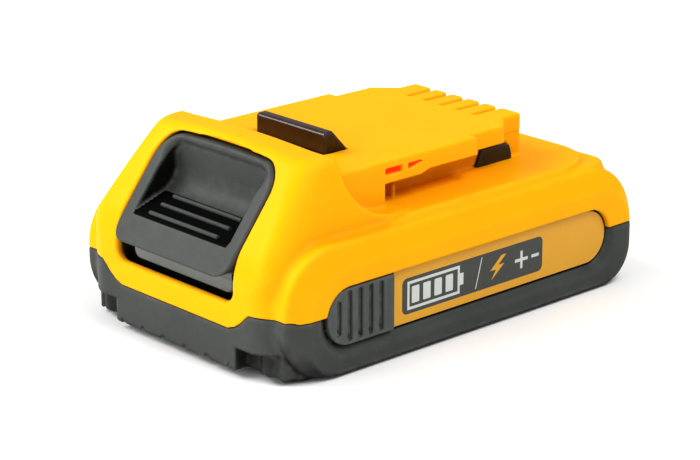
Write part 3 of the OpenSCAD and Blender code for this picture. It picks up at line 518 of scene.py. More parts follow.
def skin_mesh(name, field, low, high, step):
    """Mesh of a moulded form, in metres, with its sharp edges and creases as attributes."""
    spot, facing, bend, quads = lattice(field, low, high, step * (1))
    mesh = bpy.data.meshes.new(name)
    mesh.vertices.add(len(spot))
    mesh.vertices.foreach_set("co", (spot * MM).astype(np.float32).ravel())
    mesh.loops.add(quads.size)
    mesh.loops.foreach_set("vertex_index", quads.astype(np.int32).ravel())
    mesh.polygons.add(len(quads))
    mesh.polygons.foreach_set("loop_start", np.arange(0, quads.size, 4, dtype=np.int32))
    mesh.update(calc_edges=True)
    mesh.validate()
    mesh.shade_smooth()
    mark(mesh, "edge", np.clip(bend * 3.5, 0, 1))
    mark(mesh, "crease", np.clip(-bend * 3.5, 0, 1))
    mesh.normals_split_custom_set_from_vertices(facing.tolist())
    return mesh


def put(name, data):
    """New object in the scene."""
    thing = bpy.data.objects.new(name, data)
    bpy.context.collection.objects.link(thing)
    return thing


def add_piece(name, mesh, body, slot, materials, *nodes):
    """Puts a finished mesh in the scene for its CAD nodes."""
    piece = put(name, mesh)
    if mesh.materials:
        mesh.materials.clear()
    for material in materials:
        mesh.materials.append(material)
    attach(piece, body)
    if nodes:
        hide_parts(*nodes)
    return piece


def box_mm(name):
    """Lowest and highest corner of a CAD node in millimetres."""
    low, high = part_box(name)
    return np.array(low) / MM, np.array(high) / MM


def link(tree, source, target):
    """Links a socket, or a node's first output, to an input."""
    tree.links.new(source.outputs[0] if isinstance(source, bpy.types.Node) else source, target)


def node(tree, kind, inputs=None, **settings):
    """Adds a node with its settings; an input may be a value, or a socket or node to link from."""
    made = tree.nodes.new(kind)
    for key, value in settings.items():
        setattr(made, key, value)
    for key, value in (inputs or {}).items():
        if isinstance(value, (bpy.types.Node, bpy.types.NodeSocket)):
            link(tree, value, made.inputs[key])
        else:
            made.inputs[key].default_value = value
    return made


def sum_of(tree, operation, first, second=0.0, clamp=False):
    """One sum of two values."""
    return node(tree, "ShaderNodeMath", {0: first, 1: second}, operation=operation, use_clamp=clamp)


def times(tree, first, second):
    """Product of two values."""
    return sum_of(tree, "MULTIPLY", first, second)


def mix_colour(tree, share, first, second):
    """Blend of two colours."""
    return node(tree, "ShaderNodeMix", {0: share, 6: first, 7: second}, data_type="RGBA").outputs[2]


def ranged(tree, value, low, high, to_low=0.0, to_high=1.0):
    """Value carried from one range to another."""
    return node(tree, "ShaderNodeMapRange", {0: value, 1: low, 2: high, 3: to_low, 4: to_high})


def own_place(tree):
    """Place on the object itself."""
    return node(tree, "ShaderNodeTexCoord").outputs["Object"]


def attribute(tree, key):
    """Value stored at the vertices."""
    return node(tree, "ShaderNodeAttribute", attribute_name=key).outputs["Fac"]


def noise(tree, place, scale, detail):
    """Cloudy noise."""
    return node(tree, "ShaderNodeTexNoise", {"Vector": place, "Scale": scale, "Detail": detail})


def emboss(tree, shader, height, strength, depth):
    """Gives a shader a fine relief."""
    relief = node(tree, "ShaderNodeBump", {"Height": height, "Strength": strength, "Distance": depth})
    link(tree, relief, shader.inputs["Normal"])


def shader_group(name, given, outputs):
    """Empty shader group with one value in and values out."""
    tree = bpy.data.node_groups.new(name, "ShaderNodeTree")
    tree.interface.new_socket(given, in_out="INPUT", socket_type="NodeSocketFloat")
    for key in outputs:
        tree.interface.new_socket(key, in_out="OUTPUT", socket_type="NodeSocketFloat")
    return tree, tree.nodes.new("NodeGroupInput").outputs[0], tree.nodes.new("NodeGroupOutput")


def grain_group():
    """Fine eroded grain of a mould, with a slow mottle over it."""
    found = bpy.data.node_groups.get("moulded_grain")
    if found:
        return found
    tree, scale, made = shader_group("moulded_grain", "Scale", ["Height", "Mottle"])
    place = own_place(tree)
    cells = node(tree, "ShaderNodeTexVoronoi", {"Vector": place, "Scale": scale}, feature="SMOOTH_F1")
    height = sum_of(tree, "ADD", noise(tree, place, scale, 3), times(tree, cells, 0.6))
    link(tree, height, made.inputs["Height"])
    link(tree, noise(tree, place, 55, 4), made.inputs["Mottle"])
    return tree


def mask_group(name, key, gain, base, scale, detail, low, high, least):
    """Mask of the places where a stored value is high, broken up by noise."""
    found = bpy.data.node_groups.get(name)
    if found:
        return found
    tree, amount, made = shader_group(name, "Amount", ["Mask"])
    spread = sum_of(tree, "ADD", times(tree, attribute(tree, key), gain), base)
    patch = ranged(tree, noise(tree, own_place(tree), scale, detail), low, high, least)
    mask = sum_of(tree, "MULTIPLY", times(tree, spread, patch), amount, True)
    link(tree, mask, made.inputs["Mask"])
    return tree


def wear_group():
    """Mask of rubbed edges, which also paints a highlight along them."""
    return mask_group("edge_wear", "edge", 1, 0, 240, 5, 0.38, 0.68, 0.25)


def dust_group():
    """Mask of dust that settles in creases and lightly all over."""
    return mask_group("settled_dust", "crease", 0.9, 0.06, 420, 6, 0.42, 0.72, 0)


def use_group(tree, group, value):
    """Places a shader group with its value."""
    made = tree.nodes.new("ShaderNodeGroup")
    made.node_tree = group
    made.inputs[0].default_value = value
    return made


def shade(colour, k):
    """A colour made darker or lighter."""
    return (min(colour[0] * k, 1), min(colour[1] * k, 1), min(colour[2] * k, 1), 1)


def grey(k):
    """An even grey."""
    return (k, k, k, 1)


def new_material(name):
    """Material with its node tree and shader."""
    material = bpy.data.materials.new(name)
    material.use_nodes = True
    return material, material.node_tree, material.node_tree.nodes["Principled BSDF"]


def once(make):
    """Makes a finish when it is first asked for, and hands out the same one later."""
    def ask(name, *values, **more):
        name = "finish_" + name
        return bpy.data.materials.get(name) or make(name, *values, **more)
    return ask


@once
def moulded(name, colour, deep, rough, bump, worn, finish, dust=1.0, specular=0.5, painted_glow=None, under=None):
    """Moulded plastic or rubber: mottled colour, fine grain, rubbed edges with a painted highlight, dust in the
    creases, and on request a painted glow and painted shade.
    """
    material, tree, shader = new_material(name)
    grain = use_group(tree, grain_group(), 1 / finish.grain)
    rub = use_group(tree, wear_group(), finish.wear)
    dusty = use_group(tree, dust_group(), finish.dust * dust)
    skin = mix_colour(tree, ranged(tree, grain.outputs["Mottle"], 0.3, 0.7), tuple(colour), tuple(deep))
    # Painted glow: the flange windows get a red-orange colour and an emission, standing in for light shining through
    # them.
    if painted_glow:
        lit = attribute(tree, "painted_glow")
        skin = mix_colour(tree, lit, skin, painted_glow)
        link(tree, mix_colour(tree, lit, grey(0), painted_glow), shader.inputs["Emission Color"])
        shader.inputs["Emission Strength"].default_value = 0.5
    # Painted shade: the stored value darkens the colour towards near black where shade falls.
    if under:
        skin = mix_colour(tree, attribute(tree, "under"), skin, under)
    # Rubbed edges, lighter, which also paint a highlight along the convex edges.
    skin = mix_colour(tree, rub, skin, worn)
    skin = mix_colour(tree, dusty, skin, (0.45, 0.41, 0.34, 1))
    link(tree, skin, shader.inputs["Base Color"])
    sheen = ranged(tree, grain.outputs["Height"], 0.4, 1.2, rough - 0.05, rough + 0.06)
    link(tree, sum_of(tree, "ADD", sheen, times(tree, dusty, 0.4), True), shader.inputs["Roughness"])
    emboss(tree, shader, grain.outputs["Height"], bump, 0.00006)
    shader.inputs["Specular IOR Level"].default_value = specular
    return material


@once
def metal(name, colour, rough, scratches, stain=(0.3, 0.27, 0.22, 1)):
    """Rolled or drawn metal with fine lines and light staining."""
    material, tree, shader = new_material(name)
    place = own_place(tree)
    stretched = node(tree, "ShaderNodeMapping", {"Vector": place, "Scale": (scratches, 9000.0, 9000.0)})
    lines = noise(tree, stretched, 1, 2)
    patch = ranged(tree, noise(tree, place, 260, 5), 0.52, 0.8, 0, 0.5)
    link(tree, mix_colour(tree, patch, colour, stain), shader.inputs["Base Color"])
    link(tree, ranged(tree, lines, 0.3, 0.7, rough - 0.07, rough + 0.1), shader.inputs["Roughness"])
    emboss(tree, shader, lines, 0.12, 0.00003)
    shader.inputs["Metallic"].default_value = 1.0
    return material


@once
def printed(name, colour, finish, rough=0.34):
    """Printed film: even colour with slight ink mottle and fine scuffs."""
    material, tree, shader = new_material(name)
    grain = use_group(tree, grain_group(), 0.6 / finish.grain)
    scuffs = noise(tree, own_place(tree), 900, 6)
    skin = mix_colour(tree, ranged(tree, grain.outputs["Mottle"], 0.3, 0.7), tuple(colour), shade(colour, 0.93))
    skin = mix_colour(tree, ranged(tree, scuffs, 0.62, 0.8, 0, 0.22), skin, shade(colour, 1.25))
    link(tree, skin, shader.inputs["Base Color"])
    link(tree, ranged(tree, scuffs, 0.3, 0.75, rough - 0.06, rough + 0.12), shader.inputs["Roughness"])
    emboss(tree, shader, grain.outputs["Height"], 0.06, 0.00003)
    return material


def yellow_shell(finish):
    # The red-orange painted glow goes in the flange windows.
    return moulded("yellow_shell", finish.shell, shade(finish.shell, 0.95), 0.42, 0.22, (0.92, 0.54, 0.03, 1), finish,
                   dust=0.25, specular=0.06, painted_glow=(0.80, 0.09, 0.015, 1))


def black_shell(finish):
    # The black shell is darkened to near black where painted shade is marked.
    return moulded("black_shell", finish.base, shade(finish.base, 0.8), 0.46, 0.35, (0.16, 0.165, 0.16, 1), finish,
                   specular=0.2, under=grey(0.004))


def latch_plastic(finish):
    # The latch is darkened to near black where painted shade is marked.
    return moulded("latch_plastic", finish.latch, shade(finish.latch, 0.85), 0.42, 0.25, (0.13, 0.135, 0.13, 1),
                   finish, specular=0.12, under=grey(0.004))


def wedge_plastic(finish):
    # Dark glossy plastic tinted brown: the brown paints in the reflection of the yellow housing.
    return moulded("wedge_plastic", finish.wedge, shade(finish.wedge, 0.7), 0.22, 0.05, (0.10, 0.09, 0.07, 1), finish)


def hollow_black(finish):
    # Near-black plastic used as painted shade: it stands in for the shade in hollows and gaps.
    return moulded("hollow_black", grey(0.004), grey(0.003), 0.5, 0.2, grey(0.01), finish, dust=0.0, specular=0.02)


def skirt_plastic(finish):
    # A lighter copy of the latch colour: painted light on the skirt, which is the same plastic as the button.
    return moulded("skirt_plastic", shade(finish.latch, 2.6), shade(finish.latch, 2.4), 0.42, 0.25, grey(0.2), finish,
                   specular=0.2)


def geometry_tree(name, numbers, places=()):
    """Empty geometry tree with one geometry in and out, and named numbers and places in."""
    tree = bpy.data.node_groups.new(name, "GeometryNodeTree")
    tree.interface.new_socket("Geometry", in_out="INPUT", socket_type="NodeSocketGeometry")
    for keys, kind in ((numbers, "NodeSocketFloat"), (places, "NodeSocketVector")):
        for key in keys:
            tree.interface.new_socket(key, in_out="INPUT", socket_type=kind)
    tree.interface.new_socket("Geometry", in_out="OUTPUT", socket_type="NodeSocketGeometry")
    return tree, tree.nodes.new("NodeGroupInput").outputs, tree.nodes.new("NodeGroupOutput")


def close_tree(tree, made, geometry, material):
    """Ends a tree in real mesh with its material."""
    real = node(tree, "GeometryNodeRealizeInstances", {"Geometry": geometry})
    painted = node(tree, "GeometryNodeSetMaterial", {"Geometry": real, "Material": material})
    link(tree, painted, made.inputs["Geometry"])


def tube(tree, path, sides, radius):
    """Smooth round tube along a curve."""
    ring = node(tree, "GeometryNodeCurvePrimitiveCircle", {"Resolution": sides, "Radius": radius})
    rod = node(tree, "GeometryNodeCurveToMesh", {"Curve": path, "Profile Curve": ring, "Fill Caps": True})
    return node(tree, "GeometryNodeSetShadeSmooth", {"Geometry": rod})


def on_points(tree, given, instance):
    """A copy at each given point."""
    spots = node(tree, "GeometryNodeMeshToPoints", {"Mesh": given["Geometry"]})
    return node(tree, "GeometryNodeInstanceOnPoints", {"Points": spots, "Instance": instance})


def grow_mesh(name, tree, values, points=()):
    """Runs a geometry tree on the given points and returns the plain mesh."""
    seed = bpy.data.meshes.new(name + "_seed")
    seed.from_pydata([Vector(p) * MM for p in points], [], [])
    carrier = put(name + "_seed", seed)
    modifier = carrier.modifiers.new("Shape", "NODES")
    modifier.node_group = tree
    for item in tree.interface.items_tree:
        if item.in_out == "INPUT" and item.name in values:
            modifier[item.identifier] = values[item.name]
    shaped = carrier.evaluated_get(bpy.context.evaluated_depsgraph_get())
    mesh = bpy.data.meshes.new_from_object(shaped)
    mesh.name = name
    bpy.data.objects.remove(carrier)
    bpy.data.meshes.remove(seed)
    return mesh


def settings():
    """The pack's property groups."""
    scene = bpy.context.scene
    return scene.pack_finish, scene.pack_shape, scene.pack_stage


class PACK_OT_upper_housing(bpy.types.Operator):
    """Moulded yellow housing with hump, ledge, rails and terminal teeth"""
    bl_idname = "pack.upper_housing"
    bl_label = "Upper housing"

    def execute(self, context):
        finish, shape, _ = settings()
        field = lambda x, y, z: upper_field(x, y, z, shape.edge / MM, shape.seam / MM)
        mesh = skin_mesh("upper_housing_skin", field, *box_mm("upper_housing"), shape.spacing / MM)
        x, y, z = (vectors(mesh.vertices, "co") / MM).T
        # Painted glow: marks the faces in the flange windows that glow red-orange.
        mark(mesh, "painted_glow", (flange_windows(x, np.abs(y), z) < 0.45) & (np.abs(y) < 25.7))
        add_piece("upper_housing_skin", mesh, "pack", "yellow_shell", [yellow_shell(finish)], "upper_housing")
        return {"FINISHED"}


class PACK_OT_lower_housing(bpy.types.Operator):
    """Moulded black tub with finger lobes, corner notches and screw bosses"""
    bl_idname = "pack.lower_housing"
    bl_label = "Lower housing"

    def execute(self, context):
        finish, shape, _ = settings()
        field = lambda x, y, z: lower_field(x, y, z, shape.seam / MM)
        mesh = skin_mesh("lower_housing_skin", field, *box_mm("lower_housing"), shape.spacing / MM)
        x, y, z = (vectors(mesh.vertices, "co") / MM).T
        # Painted shade: faces that face down, and the insides of the corner notches, are darkened towards black in
        # place of the shade that falls there.
        down = np.clip(-0.1 - vectors(mesh.vertices, "normal")[:, 2], 0, 0.4) / 0.4
        in_notch = (corner_notch(x, np.abs(y), z) < 0.15) & (x > X_FRONT + 0.5)
        mark(mesh, "under", np.maximum(down, 0.75 * in_notch))
        add_piece("lower_housing_skin", mesh, "pack", "black_shell", [black_shell(finish)], "lower_housing")
        return {"FINISHED"}


class PACK_OT_release_latch(bpy.types.Operator):
    """Button with thumb hollow and ribs, spring web, arm and locking wedge"""
    bl_idname = "pack.release_latch"
    bl_label = "Release latch"
    LATCH, WEDGE, BLACK, SKIRT = range(4)

    def execute(self, context):
        finish, shape, _ = settings()
        mesh = skin_mesh("release_latch_skin", latch_field, *box_mm("release_latch"), shape.fine / MM)
        plastic = latch_plastic(finish)
        finishes = [plastic, wedge_plastic(finish), hollow_black(finish), skirt_plastic(finish)]
        add_piece("release_latch_skin", mesh, "latch", "latch_plastic", finishes, "release_latch")
        x, y, z = (vectors(mesh.polygons, "center") / MM).T
        up = vectors(mesh.polygons, "normal")[:, 2]
        # The floor of the thumb hollow and the set-back faces behind the skirt get the near-black painted shade.
        floor = (np.abs(scoop_floor(x, z)) < 0.3) & (up > 0.7) & (x < -44.9) & (np.abs(y) < 17) & (z > 28.7)
        skirt = (x > -54) & (x < -52.3) & (z < 22.9)
        behind = skirt & ((x > -53.1) | (np.abs(y) > SKIRT_HW + 0.1))
        # The wedge faces get the brown painted reflection.
        index = np.where((x > -30) & (z > 40.3), self.WEDGE, self.LATCH)
        # Painted light: the skirt faces get the lighter copy of the latch plastic.
        index[skirt] = self.SKIRT
        index[floor | behind] = self.BLACK
        mesh.polygons.foreach_set("material_index", index.astype(np.int32))
        self.shade_walls(mesh)
        add_piece("latch_ribs", self.ribs(plastic), "latch", "latch_plastic", [plastic])
        return {"FINISHED"}

    def shade_walls(self, mesh):
        """Marks the painted shade on the side walls of the hollow, which fades into its rim."""
        x, y, z = (vectors(mesh.vertices, "co") / MM).T
        a = np.abs(y)
        lip = (x - slope_x(z)) * math.cos(SLOPE) - np.interp(z, SCOOP_LIP, [0.3, 1.4])
        wall = np.clip((17.2 - a) / 0.25, 0, 1) * np.clip((a - 16.0) / 0.4, 0, 1)
        wall = wall * np.clip((-0.6 - scoop_shell(x, z)) / 0.5, 0, 1) * np.clip(lip / 0.4, 0, 1)
        # Painted shade on the side walls of the hollow.
        mark(mesh, "under", wall)

    def ribs(self, material):
        """Three round ribs across the hollow, at the given points."""
        tree, given, made = geometry_tree("rib_row", ["Length", "Radius"])
        start, end = (node(tree, "ShaderNodeCombineXYZ", {1: times(tree, given["Length"], k)}) for k in (-0.5, 0.5))
        line = node(tree, "GeometryNodeCurvePrimitiveLine", {"Start": start, "End": end})
        dense = node(tree, "GeometryNodeResampleCurve", {"Curve": line, "Count": 40})
        close_tree(tree, made, on_points(tree, given, tube(tree, dense, 16, given["Radius"])), material)
        points = [(x, 0, scoop_height(x) + 0.25) for x in (-52.9, -49.4, -45.9)]
        return grow_mesh("latch_ribs", tree, {"Length": 24.2 * MM, "Radius": 0.52 * MM}, points)


class PACK_OT_latch_springs(bpy.types.Operator):
    """Two coil springs under the latch"""
    bl_idname = "pack.latch_springs"
    bl_label = "Latch springs"

    def execute(self, context):
        steel = metal("spring_steel", (0.55, 0.55, 0.56, 1), 0.28, 60.0)
        tree, given, made = geometry_tree("coil_spring", ["Radius", "Wire", "Turns", "Height"], ["Place"])
        coil = node(tree, "GeometryNodeCurveSpiral", {
            "Resolution": 28, "Rotations": given["Turns"], "Start Radius": given["Radius"],
            "End Radius": given["Radius"], "Height": given["Height"]})
        wire = tube(tree, coil, 12, given["Wire"])
        put = node(tree, "GeometryNodeTransform", {"Geometry": wire, "Translation": given["Place"]})
        close_tree(tree, made, put, steel)
        for side, y in (("right", -SPRING_Y), ("left", SPRING_Y)):
            name = "latch_spring_" + side
            mesh = grow_mesh(name + "_wire", tree, {
                "Radius": 2.6 * MM, "Wire": 0.4 * MM, "Turns": 9.0, "Height": (SPRING_Z1 - SPRING_Z0 - 0.8) * MM,
                "Place": Vector((SPRING_X, y, SPRING_Z0 + 0.4)) * MM})
            piece = add_piece(name + "_wire", mesh, "pack", "spring_steel", [steel], name)
            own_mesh(piece)
        return {"FINISHED"}


def add_pair(kind, field, step, slot, material):
    """Skins of a piece on the -Y side and of its mirror image."""
    mirror = lambda x, y, z: field(x, -y, z)
    for side, form in (("right", field), ("left", mirror)):
        name = kind + "_" + side
        mesh = skin_mesh(name + "_skin", form, *box_mm(name), step)
        add_piece(name + "_skin", mesh, "pack", slot, [material], name)


class PACK_OT_grip_pads(bpy.types.Operator):
    """Ribbed grip pads at the front of the side recesses"""
    bl_idname = "pack.grip_pads"
    bl_label = "Grip pads"

    def execute(self, context):
        rubber = moulded("grip_rubber", (0.090, 0.102, 0.096, 1), (0.076, 0.086, 0.081, 1), 0.5, 0.5, grey(0.2),
                         settings()[0], specular=0.2)
        add_pair("grip_pad", pad_field, 0.24, "grip_rubber", rubber)
        return {"FINISHED"}


class PACK_OT_rail_bumpers(bpy.types.Operator):
    """Dark cushions in the sides of the rail block"""
    bl_idname = "pack.rail_bumpers"
    bl_label = "Rail bumpers"

    def execute(self, context):
        rubber = moulded("bumper_rubber", (0.018, 0.014, 0.009, 1), (0.012, 0.010, 0.007, 1), 0.3, 0.15,
                         (0.08, 0.07, 0.06, 1), settings()[0])
        add_pair("rail_bumper", bumper_field, 0.22, "bumper_rubber", rubber)
        return {"FINISHED"}


class PACK_OT_labels(bpy.types.Operator):
    """Side labels with a dark panel and a plain battery sign"""
    bl_idname = "pack.labels"
    bl_label = "Labels"
    # EDGE is the backing card's rim, in the near-black painted shade.
    FILM, PANEL, MARKS, EDGE = range(4)

    def execute(self, context):
        finish = settings()[0]
        materials = [printed("label_film", finish.film, finish), printed("label_panel", finish.panel, finish, 0.4),
                     printed("label_marks", finish.ink, finish), hollow_black(finish)]
        card, film, print_thick = 0.3, 0.06, 0.015
        top = RECESS_Y + 0.36
        sign = top + print_thick
        bolt = [(13.0, 16.4), (9.2, 13.2), (11.2, 13.2), (9.6, 10.8), (14.0, 14.2), (12.0, 14.2), (14.6, 16.4)]
        for side, s in (("right", -1), ("left", 1)):
            name = "label_" + side
            shape = bmesh.new()
            # The backing card is a touch larger than the film and in near-black painted shade, so its rim paints the
            # shadow line in the gap round the label.
            self.slab(shape, self.round_rect(-22.1, 6.9, 49.4, 20.8, 0.8, 6.8), RECESS_Y, card, self.EDGE, s)
            self.slab(shape, self.round_rect(-22.1, 7.3, 49.0, 20.4, 0.5, 6.4), RECESS_Y + card, film, self.FILM, s)
            self.slab(shape, self.round_rect(-19.2, 9.3, 27.0, 18.0, 1.5, 1.5), top, print_thick, self.PANEL, s)
            for points in self.signs():
                self.slab(shape, points, sign, print_thick, self.MARKS, s)
            self.slab(shape, bolt, sign, print_thick, self.FILM, s)
            bmesh.ops.recalc_face_normals(shape, faces=shape.faces)
            mesh = bpy.data.meshes.new(name + "_film")
            shape.to_mesh(mesh)
            shape.free()
            add_piece(name + "_film", mesh, "pack", "label_film", materials, name)
        return {"FINISHED"}

    def round_rect(self, x0, z0, x1, z1, r_near, r_far):
        """Corner points of a rectangle with round corners, far end first."""
        points = []
        for cx, cz, r, start in ((x1 - r_far, z1 - r_far, r_far, 0), (x0 + r_near, z1 - r_near, r_near, 90),
                                 (x0 + r_near, z0 + r_near, r_near, 180), (x1 - r_far, z0 + r_far, r_far, 270)):
            for k in range(13):
                t = math.radians(start + 7.5 * k)
                points.append((cx + r * math.cos(t), cz + r * math.sin(t)))
        return points

    def signs(self):
        """Battery outline with four level bars, a divider, plus and minus."""
        bars = [self.round_rect(-16.2 + 3.6 * k, 11.6, -13.8 + 3.6 * k, 15.7, 0.3, 0.3) for k in range(4)]
        rims = [[(x0, z0), (x1, z0), (x1, z1), (x0, z1)] for x0, z0, x1, z1 in (
            (-17.6, 10.2, -0.8, 10.9), (-17.6, 16.4, -0.8, 17.1), (-17.6, 10.9, -16.9, 16.4),
            (-1.5, 10.9, -0.8, 16.4), (-0.8, 12.2, 0.4, 15.1))]
        divider = [(4.3, 10.0), (4.6, 10.0), (6.6, 17.3), (6.3, 17.3)]
        plus = [(17.6, 13.25), (19.4, 13.25), (19.4, 11.45), (20.2, 11.45), (20.2, 13.25), (22.0, 13.25),
                (22.0, 14.05), (20.2, 14.05), (20.2, 15.85), (19.4, 15.85), (19.4, 14.05), (17.6, 14.05)]
        return bars + rims + [divider, plus, self.round_rect(23.2, 13.25, 25.8, 14.05, 0.2, 0.2)]

    def slab(self, shape, points, depth, thick, material, s):
        """Thin sheet of an outline, standing out from depth on side s."""
        lower = [shape.verts.new((x * MM, s * depth * MM, z * MM)) for x, z in points]
        upper = [shape.verts.new((x * MM, s * (depth + thick) * MM, z * MM)) for x, z in points]
        faces = [shape.faces.new(lower), shape.faces.new(upper)]
        for k in range(len(points)):
            n = (k + 1) % len(points)
            faces.append(shape.faces.new((lower[k], lower[n], upper[n], upper[k])))
        for face in faces:
            face.material_index = material


class PACK_OT_housing_screws(bpy.types.Operator):
    """Four screws from below, with six-lobed sockets"""
    bl_idname = "pack.housing_screws"
    bl_label = "Housing screws"

    def execute(self, context):
        steel = metal("screw_steel", (0.42, 0.42, 0.43, 1), 0.32, 200.0)
        tree, given, made = geometry_tree(
            "screw_set", ["Head Radius", "Head Height", "Shank Radius", "Length", "Socket Radius"])
        head = node(tree, "GeometryNodeMeshCylinder", {
            "Vertices": 40, "Radius": given["Head Radius"], "Depth": given["Head Height"]})
        star = node(tree, "GeometryNodeCurveStar", {
            "Points": 6, "Inner Radius": times(tree, given["Socket Radius"], 0.72),
            "Outer Radius": given["Socket Radius"]})
        sheet = node(tree, "GeometryNodeFillCurve", {"Curve": star})
        socket = node(tree, "GeometryNodeExtrudeMesh", {"Mesh": sheet, "Offset Scale": 0.0024})
        floor = node(tree, "GeometryNodeFlipFaces", {"Mesh": sheet})
        closed = node(tree, "GeometryNodeMergeByDistance", {
            "Geometry": self.join(tree, socket, floor), "Distance": 0.00001})
        bored = node(tree, "GeometryNodeMeshBoolean", {
            "Mesh 1": self.lower(tree, head, given, -0.5), "Mesh 2": self.lower(tree, closed, given, -1.5)},
            operation="DIFFERENCE")
        shank = node(tree, "GeometryNodeMeshCone", {
            "Vertices": 24, "Radius Top": 0.0006, "Radius Bottom": given["Shank Radius"], "Depth": given["Length"]})
        close_tree(tree, made, on_points(tree, given, self.join(tree, bored, shank)), steel)
        points = [(x, s * y, SCREW_SEAT) for x, y in BOSSES for s in (-1, 1)]
        mesh = grow_mesh("housing_screws_set", tree, {
            "Head Radius": 2.1 * MM, "Head Height": 2.2 * MM, "Shank Radius": 1.3 * MM, "Length": 16 * MM,
            "Socket Radius": 1.2 * MM}, points)
        add_piece("housing_screws_set", mesh, "pack", "screw_steel", [steel], "housing_screws")
        return {"FINISHED"}

    def join(self, tree, *parts):
        """Meshes put together."""
        made = node(tree, "GeometryNodeJoinGeometry")
        for part in parts:
            link(tree, part, made.inputs[0])
        return made

    def lower(self, tree, part, given, heads):
        """A mesh moved along the axis by a number of head heights."""
        shift = node(tree, "ShaderNodeCombineXYZ", {2: times(tree, given["Head Height"], heads)})
        return node(tree, "GeometryNodeTransform", {"Geometry": part, "Translation": shift})


class PACK_OT_inner_parts(bpy.types.Operator):
    """Finishes of the cells, frames, strips, board and contacts inside"""
    bl_idname = "pack.inner_parts"
    bl_label = "Inner parts"

    def execute(self, context):
        finish = settings()[0]
        frame_plastic = moulded("frame_plastic", (0.05, 0.05, 0.055, 1), (0.035, 0.035, 0.04, 1), 0.5, 0.3,
                                (0.15, 0.15, 0.16, 1), finish)
        component = moulded("component_plastic", (0.025, 0.025, 0.027, 1), (0.018, 0.018, 0.02, 1), 0.4, 0.2,
                            grey(0.1), finish)
        card = moulded("insulating_card", (0.66, 0.60, 0.47, 1), (0.55, 0.49, 0.37, 1), 0.75, 0.6,
                       (0.7, 0.66, 0.55, 1), finish)
        nickel = metal("nickel", (0.66, 0.63, 0.57, 1), 0.3, 900.0)
        copper = metal("contact_metal", (0.72, 0.47, 0.25, 1), 0.3, 700.0, (0.35, 0.18, 0.08, 1))
        sleeve, board = self.sleeve(finish), self.board(finish)
        dress = {"cell_frame_right": frame_plastic, "cell_frame_left": frame_plastic, "circuit_board": board,
                 "board_components": component, "terminal_block": component, "thermistor": component,
                 "insulator_right": card, "insulator_left": card, "contact_negative": copper,
                 "contact_positive": copper, "signal_contacts": copper}
        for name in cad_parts:
            if name.startswith("cell_") and name[5:].isdigit():
                dress[name] = sleeve
            if name.startswith("strip_"):
                dress[name] = nickel
        for name, material in dress.items():
            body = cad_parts[name].data
            body.materials.clear()
            body.materials.append(material)
        return {"FINISHED"}

    def sleeve(self, finish):
        """Shrink sleeve of a cell, with bare metal ends and a pale end ring."""
        material, tree, shader = new_material("cell_sleeve")
        along = node(tree, "ShaderNodeSeparateXYZ", {0: own_place(tree)}).outputs[1]
        far = sum_of(tree, "ABSOLUTE", along)
        bare = sum_of(tree, "GREATER_THAN", far, 32.05 * MM)
        ring = times(tree, sum_of(tree, "GREATER_THAN", far, 31.2 * MM), sum_of(tree, "SUBTRACT", 1.0, bare))
        grain = use_group(tree, grain_group(), 0.5 / finish.grain)
        skin = mix_colour(tree, grain.outputs["Mottle"], (0.03, 0.16, 0.33, 1), (0.045, 0.21, 0.41, 1))
        skin = mix_colour(tree, ring, skin, (0.75, 0.76, 0.74, 1))
        link(tree, mix_colour(tree, bare, skin, (0.6, 0.58, 0.54, 1)), shader.inputs["Base Color"])
        link(tree, bare, shader.inputs["Metallic"])
        link(tree, ranged(tree, grain.outputs["Height"], 0.4, 1.2, 0.26, 0.4), shader.inputs["Roughness"])
        emboss(tree, shader, grain.outputs["Height"], 0.08, 0.00004)
        return material

    def board(self, finish):
        """Solder mask over tracks, with the weave showing faintly."""
        material, tree, shader = new_material("board")
        place = own_place(tree)
        tracks = node(tree, "ShaderNodeTexBrick", {"Vector": place, "Scale": 160.0, "Mortar Size": 0.03})
        lines = tracks.outputs["Fac"]
        weave = node(tree, "ShaderNodeTexWave", {"Vector": place, "Scale": 900.0, "Distortion": 0.6}).outputs["Fac"]
        grain = use_group(tree, grain_group(), 1 / finish.grain)
        mask = mix_colour(tree, grain.outputs["Mottle"], (0.006, 0.09, 0.04, 1), (0.01, 0.13, 0.06, 1))
        link(tree, mix_colour(tree, lines, mask, (0.02, 0.2, 0.1, 1)), shader.inputs["Base Color"])
        link(tree, ranged(tree, weave, 0, 1, 0.3, 0.4), shader.inputs["Roughness"])
        emboss(tree, shader, sum_of(tree, "ADD", lines, times(tree, weave, 0.15)), 0.3, 0.00004)
        return material


